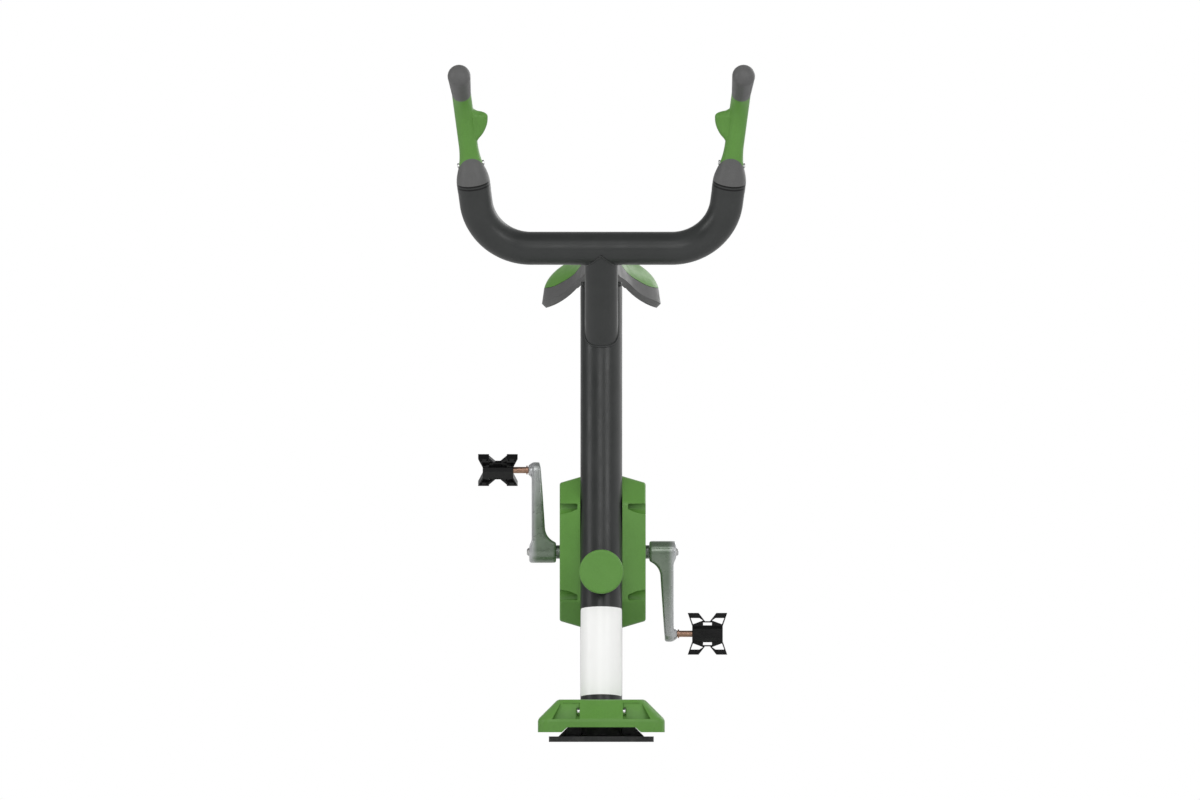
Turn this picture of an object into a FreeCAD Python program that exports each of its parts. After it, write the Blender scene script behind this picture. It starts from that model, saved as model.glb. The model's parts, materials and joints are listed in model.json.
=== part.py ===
import FreeCAD, Part
import math
import os

# Outdoor cycling station. Millimetres, +Z up, +X to the right of someone who faces the machine and +Y away
# from them. The rider sits over +Y and looks along -Y. The origin is the middle of the plate's underside.

V = FreeCAD.Vector
Placement = FreeCAD.Placement
Rotation = FreeCAD.Rotation
ORIGIN = V(0, 0, 0)
X = V(1, 0, 0)
Y = V(0, 1, 0)
Z = V(0, 0, 1)
FAR = 400.0  # longer than any single cut needs

# Clearances
WELD_GAP = 0.1  # between tubes that are welded to each other
SEAT_GAP = 0.3  # between a moulded cover and the tube it is clamped on
SLIP_GAP = 0.05  # around pins, bushes and cores inside their bores
BOLT_GAP = 0.4  # around a bolt's shank in its clearance hole
TURN_GAP = 0.3  # between the faces of pieces that turn past each other
COLLAR_GAP = 0.8  # around an axle collar where it leaves the housing
HEAD_ROUND = 0.35  # of a screw's head at its rim, as a share of the head's height
SOCKET_DEPTH = 0.6  # of the hexagonal socket, as a share of the head's height

# Base plate and gussets
PLATE_SIDE = 191.0
PLATE_THICKNESS = 10.0
PLATE_CORNER = 8.0
ANCHOR_SPACING = 145.0
ANCHOR_HOLE = 18.0
GUSSET_REACH = 40.0
GUSSET_THICKNESS = 8.0

# Leaning main post
POST_DIAMETER = 76.1
POST_WALL = 3.6
POST_LEAN = 8.5
POST_FOOT_Y = -18.0  # where the post's axis meets the ground plane
POST_LENGTH = 842.0  # along the axis, from the ground plane to the top of the saddle plate

# Front tube with its cap, and the rear carrier tube of the drive
CARRIER_HEIGHT = 309.8
CARRIER_REAR = 172.0  # behind the post's axis
FRONT_TUBE_REACH = 34.0  # in front of the post's wall
CAP_DIAMETER = 80.5
CAP_SKIRT = 16.0
CAP_FACE = 5.0
CAP_ROUND = 4.0

# Handlebar
STEM_FOOT_HEIGHT = 713.0  # where the stem's axis meets the post's axis
STEM_LENGTH = 210.0
STEM_LEAN = 28.0
BAR_DIAMETER = 60.3
BAR_WALL = 2.9
BAR_TILT = 20.1  # of the plane of the U, towards the front
BAR_STRAIGHT = 256.2
BAR_BEND_RADIUS = 100.6
BAR_BEND_ANGLE = 82.8
BAR_END_LENGTH = 24.5

# Grips
RING_WIDTH = 5.4
RING_GROOVE = 1.1
RING_GROOVE_DEPTH = 1.6
PLUG_LENGTH = 22.0
BELL_LENGTH = 84.0
# shares of the bell's length and of its flare
BELL_CURVE = [(0.12, 1.0), (0.27, 0.87), (0.54, 0.36), (0.83, 0.05), (1.0, 0.0)]
GRIP_DIAMETER = 34.8
CORE_DIAMETER = 24.0
GRIP_STRAIGHT = 117.0
HORN_RADIUS = 120.0
HORN_ANGLE = 40.0
TIP_LENGTH = 63.0
TIP_DIAMETER = 41.8
SLEEVE_EDGE = 33.0  # height of the sleeve's slanted lower edge at the sides
LOBE_HALF_THICKNESS = 11.0
LOBE_FLATNESS = 0.9  # most that a section's thickness may be of its width
LOBE_ROOT = 0.4  # how far the lobe starts inside the grip, as a share of its radius
# distance along the grip, and the lobe's reach as a share of its radius
LOBE_STATIONS = [
    (84, 0.8),
    (88.5, 0.98),
    (92.5, 1.13),
    (97, 1.39),
    (102.5, 1.7),
    (111.5, 2.04),
    (120.5, 2.27),
    (131.5, 2.4),
    (137, 2.38),
    (140.5, 2.2),
    (143, 1.88),
    (147, 1.38),
    (152, 1.07),
    (157.5, 0.9),
    (163, 0.8),
]
GRIP_SCREW_HEIGHT = 46.0
GRIP_SCREW_HEAD = 9.0
GRIP_SCREW_SHANK = 5.0
GRIP_SCREW_HEAD_HEIGHT = 3.6
GRIP_SCREW_SOCKET = 4.0
GRIP_SCREW_LENGTH = 17.0
GRIP_SCREW_SEAT = 0.3  # how far out on the flare the head bears, as a share of it

# Saddle
SADDLE_PLATE_THICKNESS = 6.0
SADDLE_PLATE_WIDTH = 64.0
SADDLE_PLATE_FRONT = 36.0
SADDLE_PLATE_REAR = 118.0
SADDLE_RIB_THICKNESS = 8.0
SADDLE_RIB_DEPTH = 70.0
SADDLE_WALL = 5.0
SADDLE_JOIN_GAP = 0.8
SADDLE_BOLT = 8.0
SADDLE_BOLT_HEAD = 13.0
SADDLE_BOLT_HEAD_HEIGHT = 5.5
SADDLE_BOLT_X = 22.0
SADDLE_BOLT_FRONT = 8.0
SADDLE_BOLT_REAR = 104.0
SADDLE_BOSS = 18.0
SADDLE_BOLT_GRIP = 7.0
# distance behind the post, half width, lower edge, height of the join, crown above the join
SADDLE_STATIONS = [
    (-52, 10, 20, 44, 15),
    (-40, 20, 13, 45, 27),
    (0, 31, 6, 43, 38),
    (30, 39, 5.0, 36.5, 44),
    (60, 51.5, -2.0, 26, 51),
    (85, 68, -13, 18.5, 55),
    (115, 89, -18.5, 12.6, 65.5),
    (150, 104, -20.8, 15, 68),
    (178, 96, -18, 16, 62),
    (194, 76, -14, 17, 49),
    (202, 52, -6, 19, 28),
]
# half width and height of the hollow under the rear of the saddle
SADDLE_ARCH = [(104, -25), (75.2, -13.4), (57, -0.4), (42.4, 14.2), (34, 23), (18, 30), (0, 32)]
SADDLE_ARCH_START = 128.0
SADDLE_SIDE_START = 52.0  # of the same hollow beside the seat of the plate
SADDLE_SEAT_HALF = 34.0
SADDLE_NOSE = SADDLE_STATIONS[0][0]
SADDLE_LENGTH = SADDLE_STATIONS[-1][0] - SADDLE_NOSE
SADDLE_FLARE = 4.0
SADDLE_BEVEL = 8.0
CROWN_POWER = 1.6
CROWN_POINTS = 9

# Drive
DRIVE_SHIFT = 2.5  # the drive sits this far to the right of the post's centre plane
AXLE_HEIGHT = 345.8
AXLE_SETBACK = 98.0  # behind the post's axis at that height
SHELL_LENGTH = 104.0
SHELL_DIAMETER = 50.0
BEARING_OUTER = 35.0
BEARING_BORE = 17.0
BEARING_WIDTH = 10.0
BEARING_INSET = 2.0
SHIELD_WIDTH = 5.0
SHIELD_DEPTH = 1.0
SHELL_STOP = 3.0
SPACER_DIAMETER = 23.0
COLLAR_DIAMETER = 24.6
HUB_DIAMETER = 44.0
HUB_WIDTH = 13.0
DISC_DIAMETER = 150.0
DISC_THICKNESS = 5.0
DISC_PLACE = 56.0
DISC_HOLE = 13.0
DISC_HOLES = 6
PAD_HEIGHT = 28.0
PAD_LENGTH = 24.0
PAD_THICKNESS = 4.0
CALIPER_LEG = 7.0
CALIPER_BRIDGE = 10.0
CALIPER_ROOM = 3.0
ADJUSTER_DIAMETER = 8.0
ADJUSTER_HEAD = 13.0
ADJUSTER_HEAD_HEIGHT = 5.0

# Housing
HOUSING_HALF_WIDTH = 78.3
HOUSING_HALF_DEPTH = 88.0  # of the outer side face
HOUSING_HALF_HEIGHT = 125.6  # of the outer side face
HOUSING_CHAMFER = 40.0
HOUSING_DRAFT = 16.3
HOUSING_CORNER = 14.0
HOUSING_EDGE = 5.0
HOUSING_WALL = 4.0
POCKET_DIAMETER = 20.4  # of the round hole whose upper and lower slices the roofs cut off
POCKET_HEIGHT = 82.0
POCKET_ROOF = 88.0
POCKET_FLOOR = 46.0
HOUSING_BOLT = 6.0
HOUSING_BOLT_HEAD = 10.0
HOUSING_BOLT_HEAD_HEIGHT = 2.6
HOUSING_BOLT_SOCKET = 5.0
HOUSING_BOLT_SINK = 12.0
HOUSING_SCREW_LENGTH = 16.0
SEAL_DIAMETER = 38.0
SEAL_WIDTH = 5.0

# Cranks
CRANK_LENGTH = 149.0
CRANK_INNER = 84.6  # inner face of the boss, from the middle of the axle
CRANK_OUTER = 129.4
CRANK_BOSS_OUTER = 134.0
CRANK_BOSS_RADIUS = 20.2
CRANK_END_RADIUS = 14.8
CRANK_END_THICKNESS = 15.5
CRANK_MID_THICKNESS = 24.4  # where the arm leaves its flare
CRANK_FLARE_TOP = 46.6
CRANK_FLARE_FOOT = 17.5
CRANK_FLARE_SAG = 0.32
CRANK_EDGE = 3.0
TAPER_LARGE = 14.6
TAPER_SMALL = 12.7
TAPER_LENGTH = 36.0
CRANK_BOLT = 8.0
CRANK_BOLT_HEAD = 15.0
CRANK_BOLT_PROUD = 4.4
CRANK_BOLT_SOCKET = 8.0
CRANK_BOLT_SHANK = 22.0
CRANK_BOLT_ROOM = 2.0
PEDAL_BOSS_LARGE = 26.0
PEDAL_BOSS_SMALL = 17.0
PEDAL_BOSS_LENGTH = 7.1

# Pedals
PEDAL_INNER = 154.7  # inner edge of the pedal, from the middle of the axle
PEDAL_WIDTH = 72.0
PEDAL_LENGTH = 76.0
PEDAL_FRAME_THICKNESS = 12.0
PEDAL_WEB_THICKNESS = 6.0
PEDAL_AXLE = 11.6
PEDAL_AXLE_SHOULDER = 16.0
PEDAL_SHOULDER_WIDTH = 2.6
BARREL_LENGTH = 55.6
BARREL_HEIGHT = 28.0
BARREL_THICKNESS = 23.0
BARREL_CHAMFER = 5.0
BUSH_DIAMETER = 16.0
BUSH_LENGTH = 14.0
PEDAL_NUT = 15.0
PEDAL_NUT_WIDTH = 6.0
NUT_POCKET = 18.0
PEDAL_CAP_WIDTH = 3.0
NOTCH_WIDTH = 32.4
NOTCH_FLOOR = 9.0
NOTCH_DEPTH = 15.0
TREAD_DEPTH = 9.4
WINDOW_SIDE = 5.5  # frame left beside each window
WINDOW_FOOT = 3.5  # frame left between window and barrel
WINDOW_DRAW = 4.1  # how much more frame there is at the window's foot
WINDOW_RIB = 1.5
WINDOW_INNER = 8.2
WINDOW_STEP = 4.4
SLOT_HALF_WIDTH = 8.0
SLOT_ABOVE = 3.0
SLOT_BELOW = 2.0
NUB_DIAMETER = 3.4
NUB_HEIGHT = 2.0
NUB_INSET = 5.1  # from the pedal's side to the outer studs
LEFT_PEDAL_TILT = 50.0

# Base cover
COVER_SIDE = 231.0
COVER_BOTTOM = 17.6
COVER_SKIRT = 23.3
COVER_SHOULDER = 36.3
COVER_CORNER = 20.0
COVER_WALL = 4.0
COVER_EDGE = 12.0
COVER_BLOCK_WIDTH = 79.0
COVER_RECESS_DEPTH = 18.0  # level, behind the sloping shoulder
COVER_RECESS_FLOOR = 41.5
COVER_RECESS_TOP = 71.0
COVER_RECESS_FOOT = 89.5
COVER_RECESS_HEAD = 70.0
COVER_ARCH_FOOT = 144.0
COVER_ARCH_TOP = 123.0
COVER_ARCH_HEIGHT = 9.2
COVER_BOLT = 6.0
COVER_BOLT_HEAD = 11.5
COVER_BOLT_HEAD_HEIGHT = 5.0
COVER_BOLT_SOCKET = 4.0
COVER_BOLT_HEIGHT = 55.3
COVER_BOLT_REACH = 92.0
COVER_BOSS = 18.0


# Places worked out from the sizes above
def post_y(height):
    """Where the post's axis is, front to back, at a height."""
    return POST_FOOT_Y + height * math.tan(math.radians(POST_LEAN))


POST_RADIUS = POST_DIAMETER / 2
BAR_RADIUS = BAR_DIAMETER / 2
GRIP_RADIUS = GRIP_DIAMETER / 2
POST_PLACE = Placement(V(0, POST_FOOT_Y, 0), Rotation(X, -POST_LEAN))
SADDLE_PLACE = POST_PLACE.multiply(Placement(V(0, 0, POST_LENGTH), Rotation()))
CARRIER_CENTRE = V(0, post_y(CARRIER_HEIGHT), CARRIER_HEIGHT)
STEM_FOOT = V(0, post_y(STEM_FOOT_HEIGHT), STEM_FOOT_HEIGHT)
STEM_TOP = STEM_FOOT + Rotation(X, STEM_LEAN).multVec(Z) * STEM_LENGTH
BAR_PLACE = Placement(STEM_TOP, Rotation(X, BAR_TILT))
AXLE_CENTRE = V(DRIVE_SHIFT, post_y(AXLE_HEIGHT) + AXLE_SETBACK, AXLE_HEIGHT)


# Helpers
def placed(shape, place):
    """A copy of a shape carried into another frame."""
    moved = shape.copy()
    moved.Placement = place.multiply(moved.Placement)
    return moved


def rod(start, end, diameter):
    """Solid round bar between two points."""
    along = end - start
    return Part.makeCylinder(diameter / 2, along.Length, start, along)


def tube(start, end, diameter, wall):
    """Open round tube between two points."""
    return rod(start, end, diameter).cut(rod(start, end, diameter - 2 * wall))


def ring(start, end, outer, bore):
    """Flat-ended ring between two points."""
    return rod(start, end, outer).cut(rod(start, end, bore))


def hexagon(start, end, across):
    """Hexagonal prism between two points, as wide across its flats as given."""
    along = end - start
    corner = across / 2 / math.cos(math.pi / 6)
    turn = Placement(start, Rotation(Z, along))
    points = [Rotation(Z, 60 * i).multVec(X) * corner for i in range(6)]
    return placed(prism(points, Z * along.Length), turn)


def screw_head(seat, out, diameter, height, socket):
    """Round head with a rounded rim and a hexagonal socket, standing out from its seat."""
    end = seat + out * height
    head = rod(seat, end, diameter)
    rim = [edge for edge in head.Edges if (edge.CenterOfMass - end).Length < SLIP_GAP]
    head = head.makeFillet(HEAD_ROUND * height, rim)
    return head.cut(hexagon(end - out * (SOCKET_DEPTH * height), end, socket))


def prism(points, along):
    """Solid swept straight from a flat outline of straight sides."""
    return Part.Face(Part.makePolygon(points + points[:1])).extrude(along)


def rounded(points, radius):
    """Closed wire of straight sides with every corner rounded."""
    edges = []
    marks = []
    for i, corner in enumerate(points):
        back = (points[i - 1] - corner).normalize()
        ahead = (points[(i + 1) % len(points)] - corner).normalize()
        half = back.getAngle(ahead) / 2
        middle = corner + (back + ahead).normalize() * (radius / math.sin(half) - radius)
        reach = radius / math.tan(half)
        marks.append((corner + back * reach, middle, corner + ahead * reach))
    for i, (start, middle, end) in enumerate(marks):
        edges.append(Part.Arc(start, middle, end).toShape())
        edges.append(Part.LineSegment(end, marks[(i + 1) % len(marks)][0]).toShape())
    return Part.Wire(edges)


def square(half, height, radius):
    """Rounded square wire, level, about the vertical axis."""
    corners = [(half, -half), (half, half), (-half, half), (-half, -half)]
    return rounded([V(x, y, height) for x, y in corners], radius)


def mirrored(shape):
    """The same piece for the other side of the machine."""
    return shape.mirror(ORIGIN, X)


def post_core(gap):
    """What the post takes out of a piece that meets it."""
    return placed(rod(V(0, 0, -FAR), V(0, 0, POST_LENGTH + FAR), POST_DIAMETER + 2 * gap), POST_PLACE)


def post_slot(gap):
    """The post and the room in front of it, as wide as the post."""
    half = POST_RADIUS + gap
    front = Part.makeBox(2 * half, FAR, 3 * FAR, V(-half, -FAR, 0))
    return post_core(gap).fuse(placed(front, POST_PLACE))


def carrier_core(gap):
    """What the rear carrier tube takes out of a piece that meets it."""
    return rod(CARRIER_CENTRE, CARRIER_CENTRE + Y * CARRIER_REAR, POST_DIAMETER + 2 * gap)


# Base and post
def base_plate():
    half = PLATE_SIDE / 2
    plate = Part.Face(square(half, 0, PLATE_CORNER)).extrude(Z * PLATE_THICKNESS)
    for sx in (-1, 1):
        for sy in (-1, 1):
            hole = V(sx * ANCHOR_SPACING / 2, sy * ANCHOR_SPACING / 2, 0)
            plate = plate.cut(rod(hole, hole + Z * PLATE_THICKNESS, ANCHOR_HOLE))
    return plate


def base_gussets():
    foot = post_y(PLATE_THICKNESS) - GUSSET_THICKNESS / 2
    tip = POST_RADIUS + GUSSET_REACH
    outline = [
        V(0, foot, PLATE_THICKNESS),
        V(tip, foot, PLATE_THICKNESS),
        V(POST_RADIUS, foot, PLATE_THICKNESS + GUSSET_REACH),
        V(0, foot, PLATE_THICKNESS + GUSSET_REACH),
    ]
    right = prism(outline, Y * GUSSET_THICKNESS).cut(post_core(WELD_GAP))
    return Part.makeCompound([right, mirrored(right)])


def main_post():
    top = POST_LENGTH - SADDLE_PLATE_THICKNESS
    post = placed(tube(V(0, 0, -FAR), V(0, 0, top), POST_DIAMETER, POST_WALL), POST_PLACE)
    below = Part.makeBox(2 * FAR, 2 * FAR, 2 * FAR, V(-FAR, -FAR, PLATE_THICKNESS - 2 * FAR))
    return post.cut([below] + post_screw_holes())


# Carrier tubes
def front_tube():
    end = CARRIER_CENTRE - Y * (POST_RADIUS + FRONT_TUBE_REACH)
    return tube(CARRIER_CENTRE, end, POST_DIAMETER, POST_WALL).cut(post_core(WELD_GAP))


def front_cap():
    """Turned cap with a skirt over the tube and a soft rim."""
    seat = CARRIER_CENTRE - Y * (POST_RADIUS + FRONT_TUBE_REACH)
    outer = CAP_DIAMETER / 2
    bore = POST_RADIUS + SLIP_GAP
    bend = CAP_ROUND * (1 - math.sqrt(0.5))
    outline = Part.Wire(
        [
            Part.makePolygon([V(0, 0, 0), V(bore, 0, 0), V(bore, -CAP_SKIRT, 0), V(outer, -CAP_SKIRT, 0)]),
            Part.makePolygon([V(outer, -CAP_SKIRT, 0), V(outer, CAP_FACE - CAP_ROUND, 0)]),
            Part.Arc(
                V(outer, CAP_FACE - CAP_ROUND, 0),
                V(outer - bend, CAP_FACE - bend, 0),
                V(outer - CAP_ROUND, CAP_FACE, 0),
            ).toShape(),
            Part.makePolygon([V(outer - CAP_ROUND, CAP_FACE, 0), V(0, CAP_FACE, 0), V(0, 0, 0)]),
        ]
    )
    turned = Part.Face(outline).revolve(ORIGIN, Y, 360)
    return placed(turned, Placement(seat, Rotation(X, 180)))


def rear_tube():
    end = CARRIER_CENTRE + Y * CARRIER_REAR
    shell_seat = in_drive(rod(-X * SHELL_LENGTH, X * SHELL_LENGTH, SHELL_DIAMETER + 2 * WELD_GAP))
    return tube(CARRIER_CENTRE, end, POST_DIAMETER, POST_WALL).cut([post_core(WELD_GAP), shell_seat])


def rear_plug():
    """Stopper in the rear end of the carrier tube."""
    end = CARRIER_CENTRE + Y * CARRIER_REAR
    stem = rod(end - Y * CAP_SKIRT, end, POST_DIAMETER - 2 * POST_WALL - 2 * SLIP_GAP)
    return stem.fuse(rod(end, end + Y * CAP_FACE, POST_DIAMETER)).removeSplitter()


# Handlebar
def handlebar_stem():
    stem = tube(STEM_FOOT, STEM_TOP, BAR_DIAMETER, BAR_WALL)
    bar = rod(STEM_TOP - X * FAR, STEM_TOP + X * FAR, BAR_DIAMETER + 2 * WELD_GAP)
    return stem.cut(post_core(WELD_GAP)).cut(bar)


def bar_end():
    """Right end of the bar's centre line, in the plane of the U."""
    angle = math.radians(BAR_BEND_ANGLE)
    along = BAR_STRAIGHT / 2 + BAR_BEND_RADIUS * math.sin(angle) + BAR_END_LENGTH * math.cos(angle)
    up = BAR_BEND_RADIUS * (1 - math.cos(angle)) + BAR_END_LENGTH * math.sin(angle)
    return V(along, 0, up)


def bar_path():
    """Centre line of the U, from its left end to its right end."""
    angle = math.radians(BAR_BEND_ANGLE)

    def on_bend(part, side):
        along = BAR_STRAIGHT / 2 + BAR_BEND_RADIUS * math.sin(angle * part)
        return V(side * along, 0, BAR_BEND_RADIUS * (1 - math.cos(angle * part)))

    right_end = bar_end()
    left_end = V(-right_end.x, 0, right_end.z)
    return Part.Wire(
        [
            Part.LineSegment(left_end, on_bend(1, -1)).toShape(),
            Part.Arc(on_bend(1, -1), on_bend(0.5, -1), on_bend(0, -1)).toShape(),
            Part.LineSegment(on_bend(0, -1), on_bend(0, 1)).toShape(),
            Part.Arc(on_bend(0, 1), on_bend(0.5, 1), on_bend(1, 1)).toShape(),
            Part.LineSegment(on_bend(1, 1), right_end).toShape(),
        ]
    )


def handlebar_tube():
    path = bar_path()
    first = path.OrderedEdges[0]
    start = first.valueAt(first.FirstParameter)
    along = first.tangentAt(first.FirstParameter)

    def swept(radius):
        section = Part.Wire([Part.Circle(start, along, radius).toShape()])
        return path.makePipeShell([section], True, False)

    return placed(swept(BAR_RADIUS).cut(swept(BAR_RADIUS - BAR_WALL)), BAR_PLACE)


# Grips, made for the right side in a frame whose Z runs up the grip and whose -Y is the front
def grip_place():
    lean = 90 - BAR_BEND_ANGLE
    twist = -math.degrees(math.atan(math.sin(math.radians(lean)) * math.tan(math.radians(BAR_TILT))))
    turn = Rotation(Y, lean).multiply(Rotation(Z, twist))
    seat = Placement(bar_end(), turn).multiply(Placement(V(0, 0, RING_WIDTH), Rotation()))
    return BAR_PLACE.multiply(seat)


GRIP_PLACE = grip_place()


def on_grip(distance):
    """Place of a cross-section at a distance along the grip's centre line."""
    if distance <= GRIP_STRAIGHT:
        return Placement(V(0, 0, distance), Rotation())
    turned = (distance - GRIP_STRAIGHT) / HORN_RADIUS
    centre = V(0, HORN_RADIUS * (math.cos(turned) - 1), GRIP_STRAIGHT + HORN_RADIUS * math.sin(turned))
    return Placement(centre, Rotation(X, math.degrees(turned)))


def horn(diameter, start):
    """Straight rod and bend of the grip, from a height up to the foot of the tip."""
    straight = rod(V(0, 0, start), V(0, 0, GRIP_STRAIGHT), diameter)
    section = Part.Face(Part.Wire([Part.Circle(V(0, 0, GRIP_STRAIGHT), Z, diameter / 2).toShape()]))
    bend = section.revolve(V(0, -HORN_RADIUS, GRIP_STRAIGHT), X, HORN_ANGLE)
    return straight.fuse(bend)


def grip_bell():
    """Flared foot of the grip, from the bar's diameter down to the grip's."""
    drop = BAR_RADIUS - GRIP_RADIUS
    flare = Part.BSplineCurve()
    flare.interpolate([V(GRIP_RADIUS + share * drop, 0, along * BELL_LENGTH) for along, share in BELL_CURVE])
    foot = flare.StartPoint
    outline = Part.Wire(
        [
            flare.toShape(),
            Part.makePolygon([flare.EndPoint, V(0, 0, BELL_LENGTH), ORIGIN, V(BAR_RADIUS, 0, 0), foot]),
        ]
    )
    return Part.Face(outline).revolve(ORIGIN, Z, 360)


def below_sleeve(gap):
    """Everything under the slanted lower edge of the sleeve, which is higher at the front."""
    reach = 2 * BAR_DIAMETER
    edge = SLEEVE_EDGE - gap
    outline = [V(-reach, -reach, edge + reach), V(-reach, reach, edge - reach)]
    outline += [V(-reach, reach, -2 * reach), V(-reach, -reach, -2 * reach)]
    return prism(outline, X * 2 * reach)


def grip_tip():
    """Flared tip with a ball end."""
    ball = TIP_DIAMETER / 2
    bend = ball * math.sqrt(0.5)
    shoulder = V(ball, 0, TIP_LENGTH)
    end = V(0, 0, TIP_LENGTH + ball)
    outline = Part.Wire(
        [
            Part.makePolygon([end, ORIGIN, V(GRIP_RADIUS, 0, 0), shoulder]),
            Part.Arc(shoulder, V(bend, 0, TIP_LENGTH + bend), end).toShape(),
        ]
    )
    turned = Part.Face(outline).revolve(ORIGIN, Z, 360)
    return placed(turned, on_grip(GRIP_STRAIGHT + HORN_RADIUS * math.radians(HORN_ANGLE)))


def thumb_lobe():
    """Paddle on the inner side of the sleeve, lofted through ellipses across the grip."""
    wires = []
    inner = LOBE_ROOT * GRIP_RADIUS
    for distance, share in LOBE_STATIONS:
        half = (share * GRIP_RADIUS + inner) / 2
        thick = min(LOBE_HALF_THICKNESS, LOBE_FLATNESS * half)
        centre = V(inner - half, 0, 0)
        ellipse = Part.Ellipse(centre - X * half, centre + Y * thick, centre)
        wires.append(placed(Part.Wire([ellipse.toShape()]), on_grip(distance)))
    return Part.makeLoft(wires, True, False)


def grip_screw_shank(side, gap):
    """Shank of the screw through the sleeve into the core, the seat of its head and the way it points."""
    out = X * side
    seat = out * (GRIP_RADIUS + GRIP_SCREW_SEAT * (BAR_RADIUS - GRIP_RADIUS)) + Z * GRIP_SCREW_HEIGHT
    return rod(seat - out * GRIP_SCREW_LENGTH, seat, GRIP_SCREW_SHANK + 2 * gap), seat, out


def grip_screw_rooms():
    rooms = []
    for side in (-1, 1):
        shank, seat, out = grip_screw_shank(side, SLIP_GAP)
        rooms.append(shank.fuse(rod(seat, seat + out * BAR_RADIUS, GRIP_SCREW_HEAD + 2 * SLIP_GAP)))
    return rooms


def grip_core():
    collar = grip_bell().common(below_sleeve(SLIP_GAP))
    plug = rod(V(0, 0, -RING_WIDTH - PLUG_LENGTH), ORIGIN, BAR_DIAMETER - 2 * BAR_WALL - 2 * SEAT_GAP)
    core = collar.fuse([horn(CORE_DIAMETER, 0), grip_tip(), plug]).cut(grip_screw_rooms())
    return placed(core, GRIP_PLACE)


def grip_sleeve():
    form = grip_bell().fuse([horn(GRIP_DIAMETER, BELL_LENGTH), thumb_lobe()])
    sleeve = form.cut([below_sleeve(0), horn(CORE_DIAMETER + 2 * SLIP_GAP, -FAR)]).cut(grip_screw_rooms())
    return placed(sleeve, GRIP_PLACE)


def grip_screws():
    right = []
    for side in (-1, 1):
        shank, seat, out = grip_screw_shank(side, 0)
        head = screw_head(seat, out, GRIP_SCREW_HEAD, GRIP_SCREW_HEAD_HEIGHT, GRIP_SCREW_SOCKET)
        right.append(placed(shank.fuse(head).removeSplitter(), GRIP_PLACE))
    return Part.makeCompound(right + [mirrored(screw) for screw in right])


def seam_ring():
    """Spacer between bar and grip, with a groove along each edge that reads as a dark line."""
    bore = BAR_DIAMETER - 2 * BAR_WALL
    foot = V(0, 0, -RING_WIDTH)
    band = ring(foot + Z * RING_GROOVE, -Z * RING_GROOVE, BAR_DIAMETER, bore)
    waist = ring(foot, ORIGIN, BAR_DIAMETER - 2 * RING_GROOVE_DEPTH, bore)
    return placed(band.fuse(waist).removeSplitter(), GRIP_PLACE)


# Saddle, in a frame whose Z runs up the post and whose +Y is the rear
def saddle_loft(outline):
    """Solid through a flat closed outline at each station, given as a function of that station."""
    wires = []
    for station in SADDLE_STATIONS:
        right = [V(x, station[0], z) for x, z in outline(*station[1:])]
        left = [V(-point.x, point.y, point.z) for point in reversed(right)]
        wires.append(Part.makePolygon(right + left + right[:1]))
    return Part.makeLoft(wires, True, False)


def under_join(lift):
    """Everything under the surface where the two halves of the saddle meet, lifted by a gap."""
    return saddle_loft(lambda half, low, join, crown: [(FAR, join + lift), (FAR, -FAR)])


def saddle_block():
    """Outside of the lower half, run on past the join."""
    return saddle_loft(
        lambda half, low, join, crown: [
            (half, join + SADDLE_WALL),
            (half, join),
            (half + SADDLE_FLARE, low + SADDLE_BEVEL),
            (half - SADDLE_FLARE, low),
        ]
    )


def saddle_hollow():
    """Inside of the lower half, open below, with a wall left at nose and rear."""
    hollow = saddle_loft(
        lambda half, low, join, crown: [(half - SADDLE_WALL, join - SADDLE_WALL), (half - SADDLE_WALL, -FAR)]
    )
    length = SADDLE_LENGTH - 2 * SADDLE_WALL
    return hollow.common(Part.makeBox(2 * FAR, length, 2 * FAR, V(-FAR, SADDLE_NOSE + SADDLE_WALL, -FAR)))


def saddle_arch():
    """Room under the rear of the saddle and beside the seat of its plate, highest in the middle."""
    level = Rotation(X, POST_LEAN).multVec(Y)
    start = V(0, SADDLE_ARCH_START, 0) - level * ((SADDLE_ARCH_START - SADDLE_SIDE_START) / level.y)
    points = [start + V(x, 0, z) for x, z in SADDLE_ARCH]
    points += [start + V(-x, 0, z) for x, z in reversed(SADDLE_ARCH[:-1])]
    curve = Part.BSplineCurve()
    curve.interpolate(points)
    low = Z * FAR
    closing = Part.makePolygon([points[-1], points[-1] - low, points[0] - low, points[0]])
    room = Part.Face(Part.Wire([curve.toShape(), closing])).extrude(level * FAR)
    seat = V(-SADDLE_SEAT_HALF, SADDLE_ARCH_START - FAR, -2 * FAR)
    return room.cut(Part.makeBox(2 * SADDLE_SEAT_HALF, FAR, 3 * FAR, seat))


def saddle_bolt_places():
    return [V(sx * SADDLE_BOLT_X, y, 0) for sx in (-1, 1) for y in (SADDLE_BOLT_FRONT, SADDLE_BOLT_REAR)]


def saddle_base():
    block = saddle_block().common(under_join(0))
    base = block.cut(saddle_hollow())
    for place in saddle_bolt_places():
        boss = rod(place, place + Z * FAR, SADDLE_BOSS).common(block)
        base = base.fuse(boss)
    for place in saddle_bolt_places():
        base = base.cut(rod(place - Z * SADDLE_WALL, place + Z * SADDLE_BOLT, SADDLE_BOLT + 2 * BOLT_GAP))
    return placed(base.cut(saddle_arch()), SADDLE_PLACE)


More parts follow.
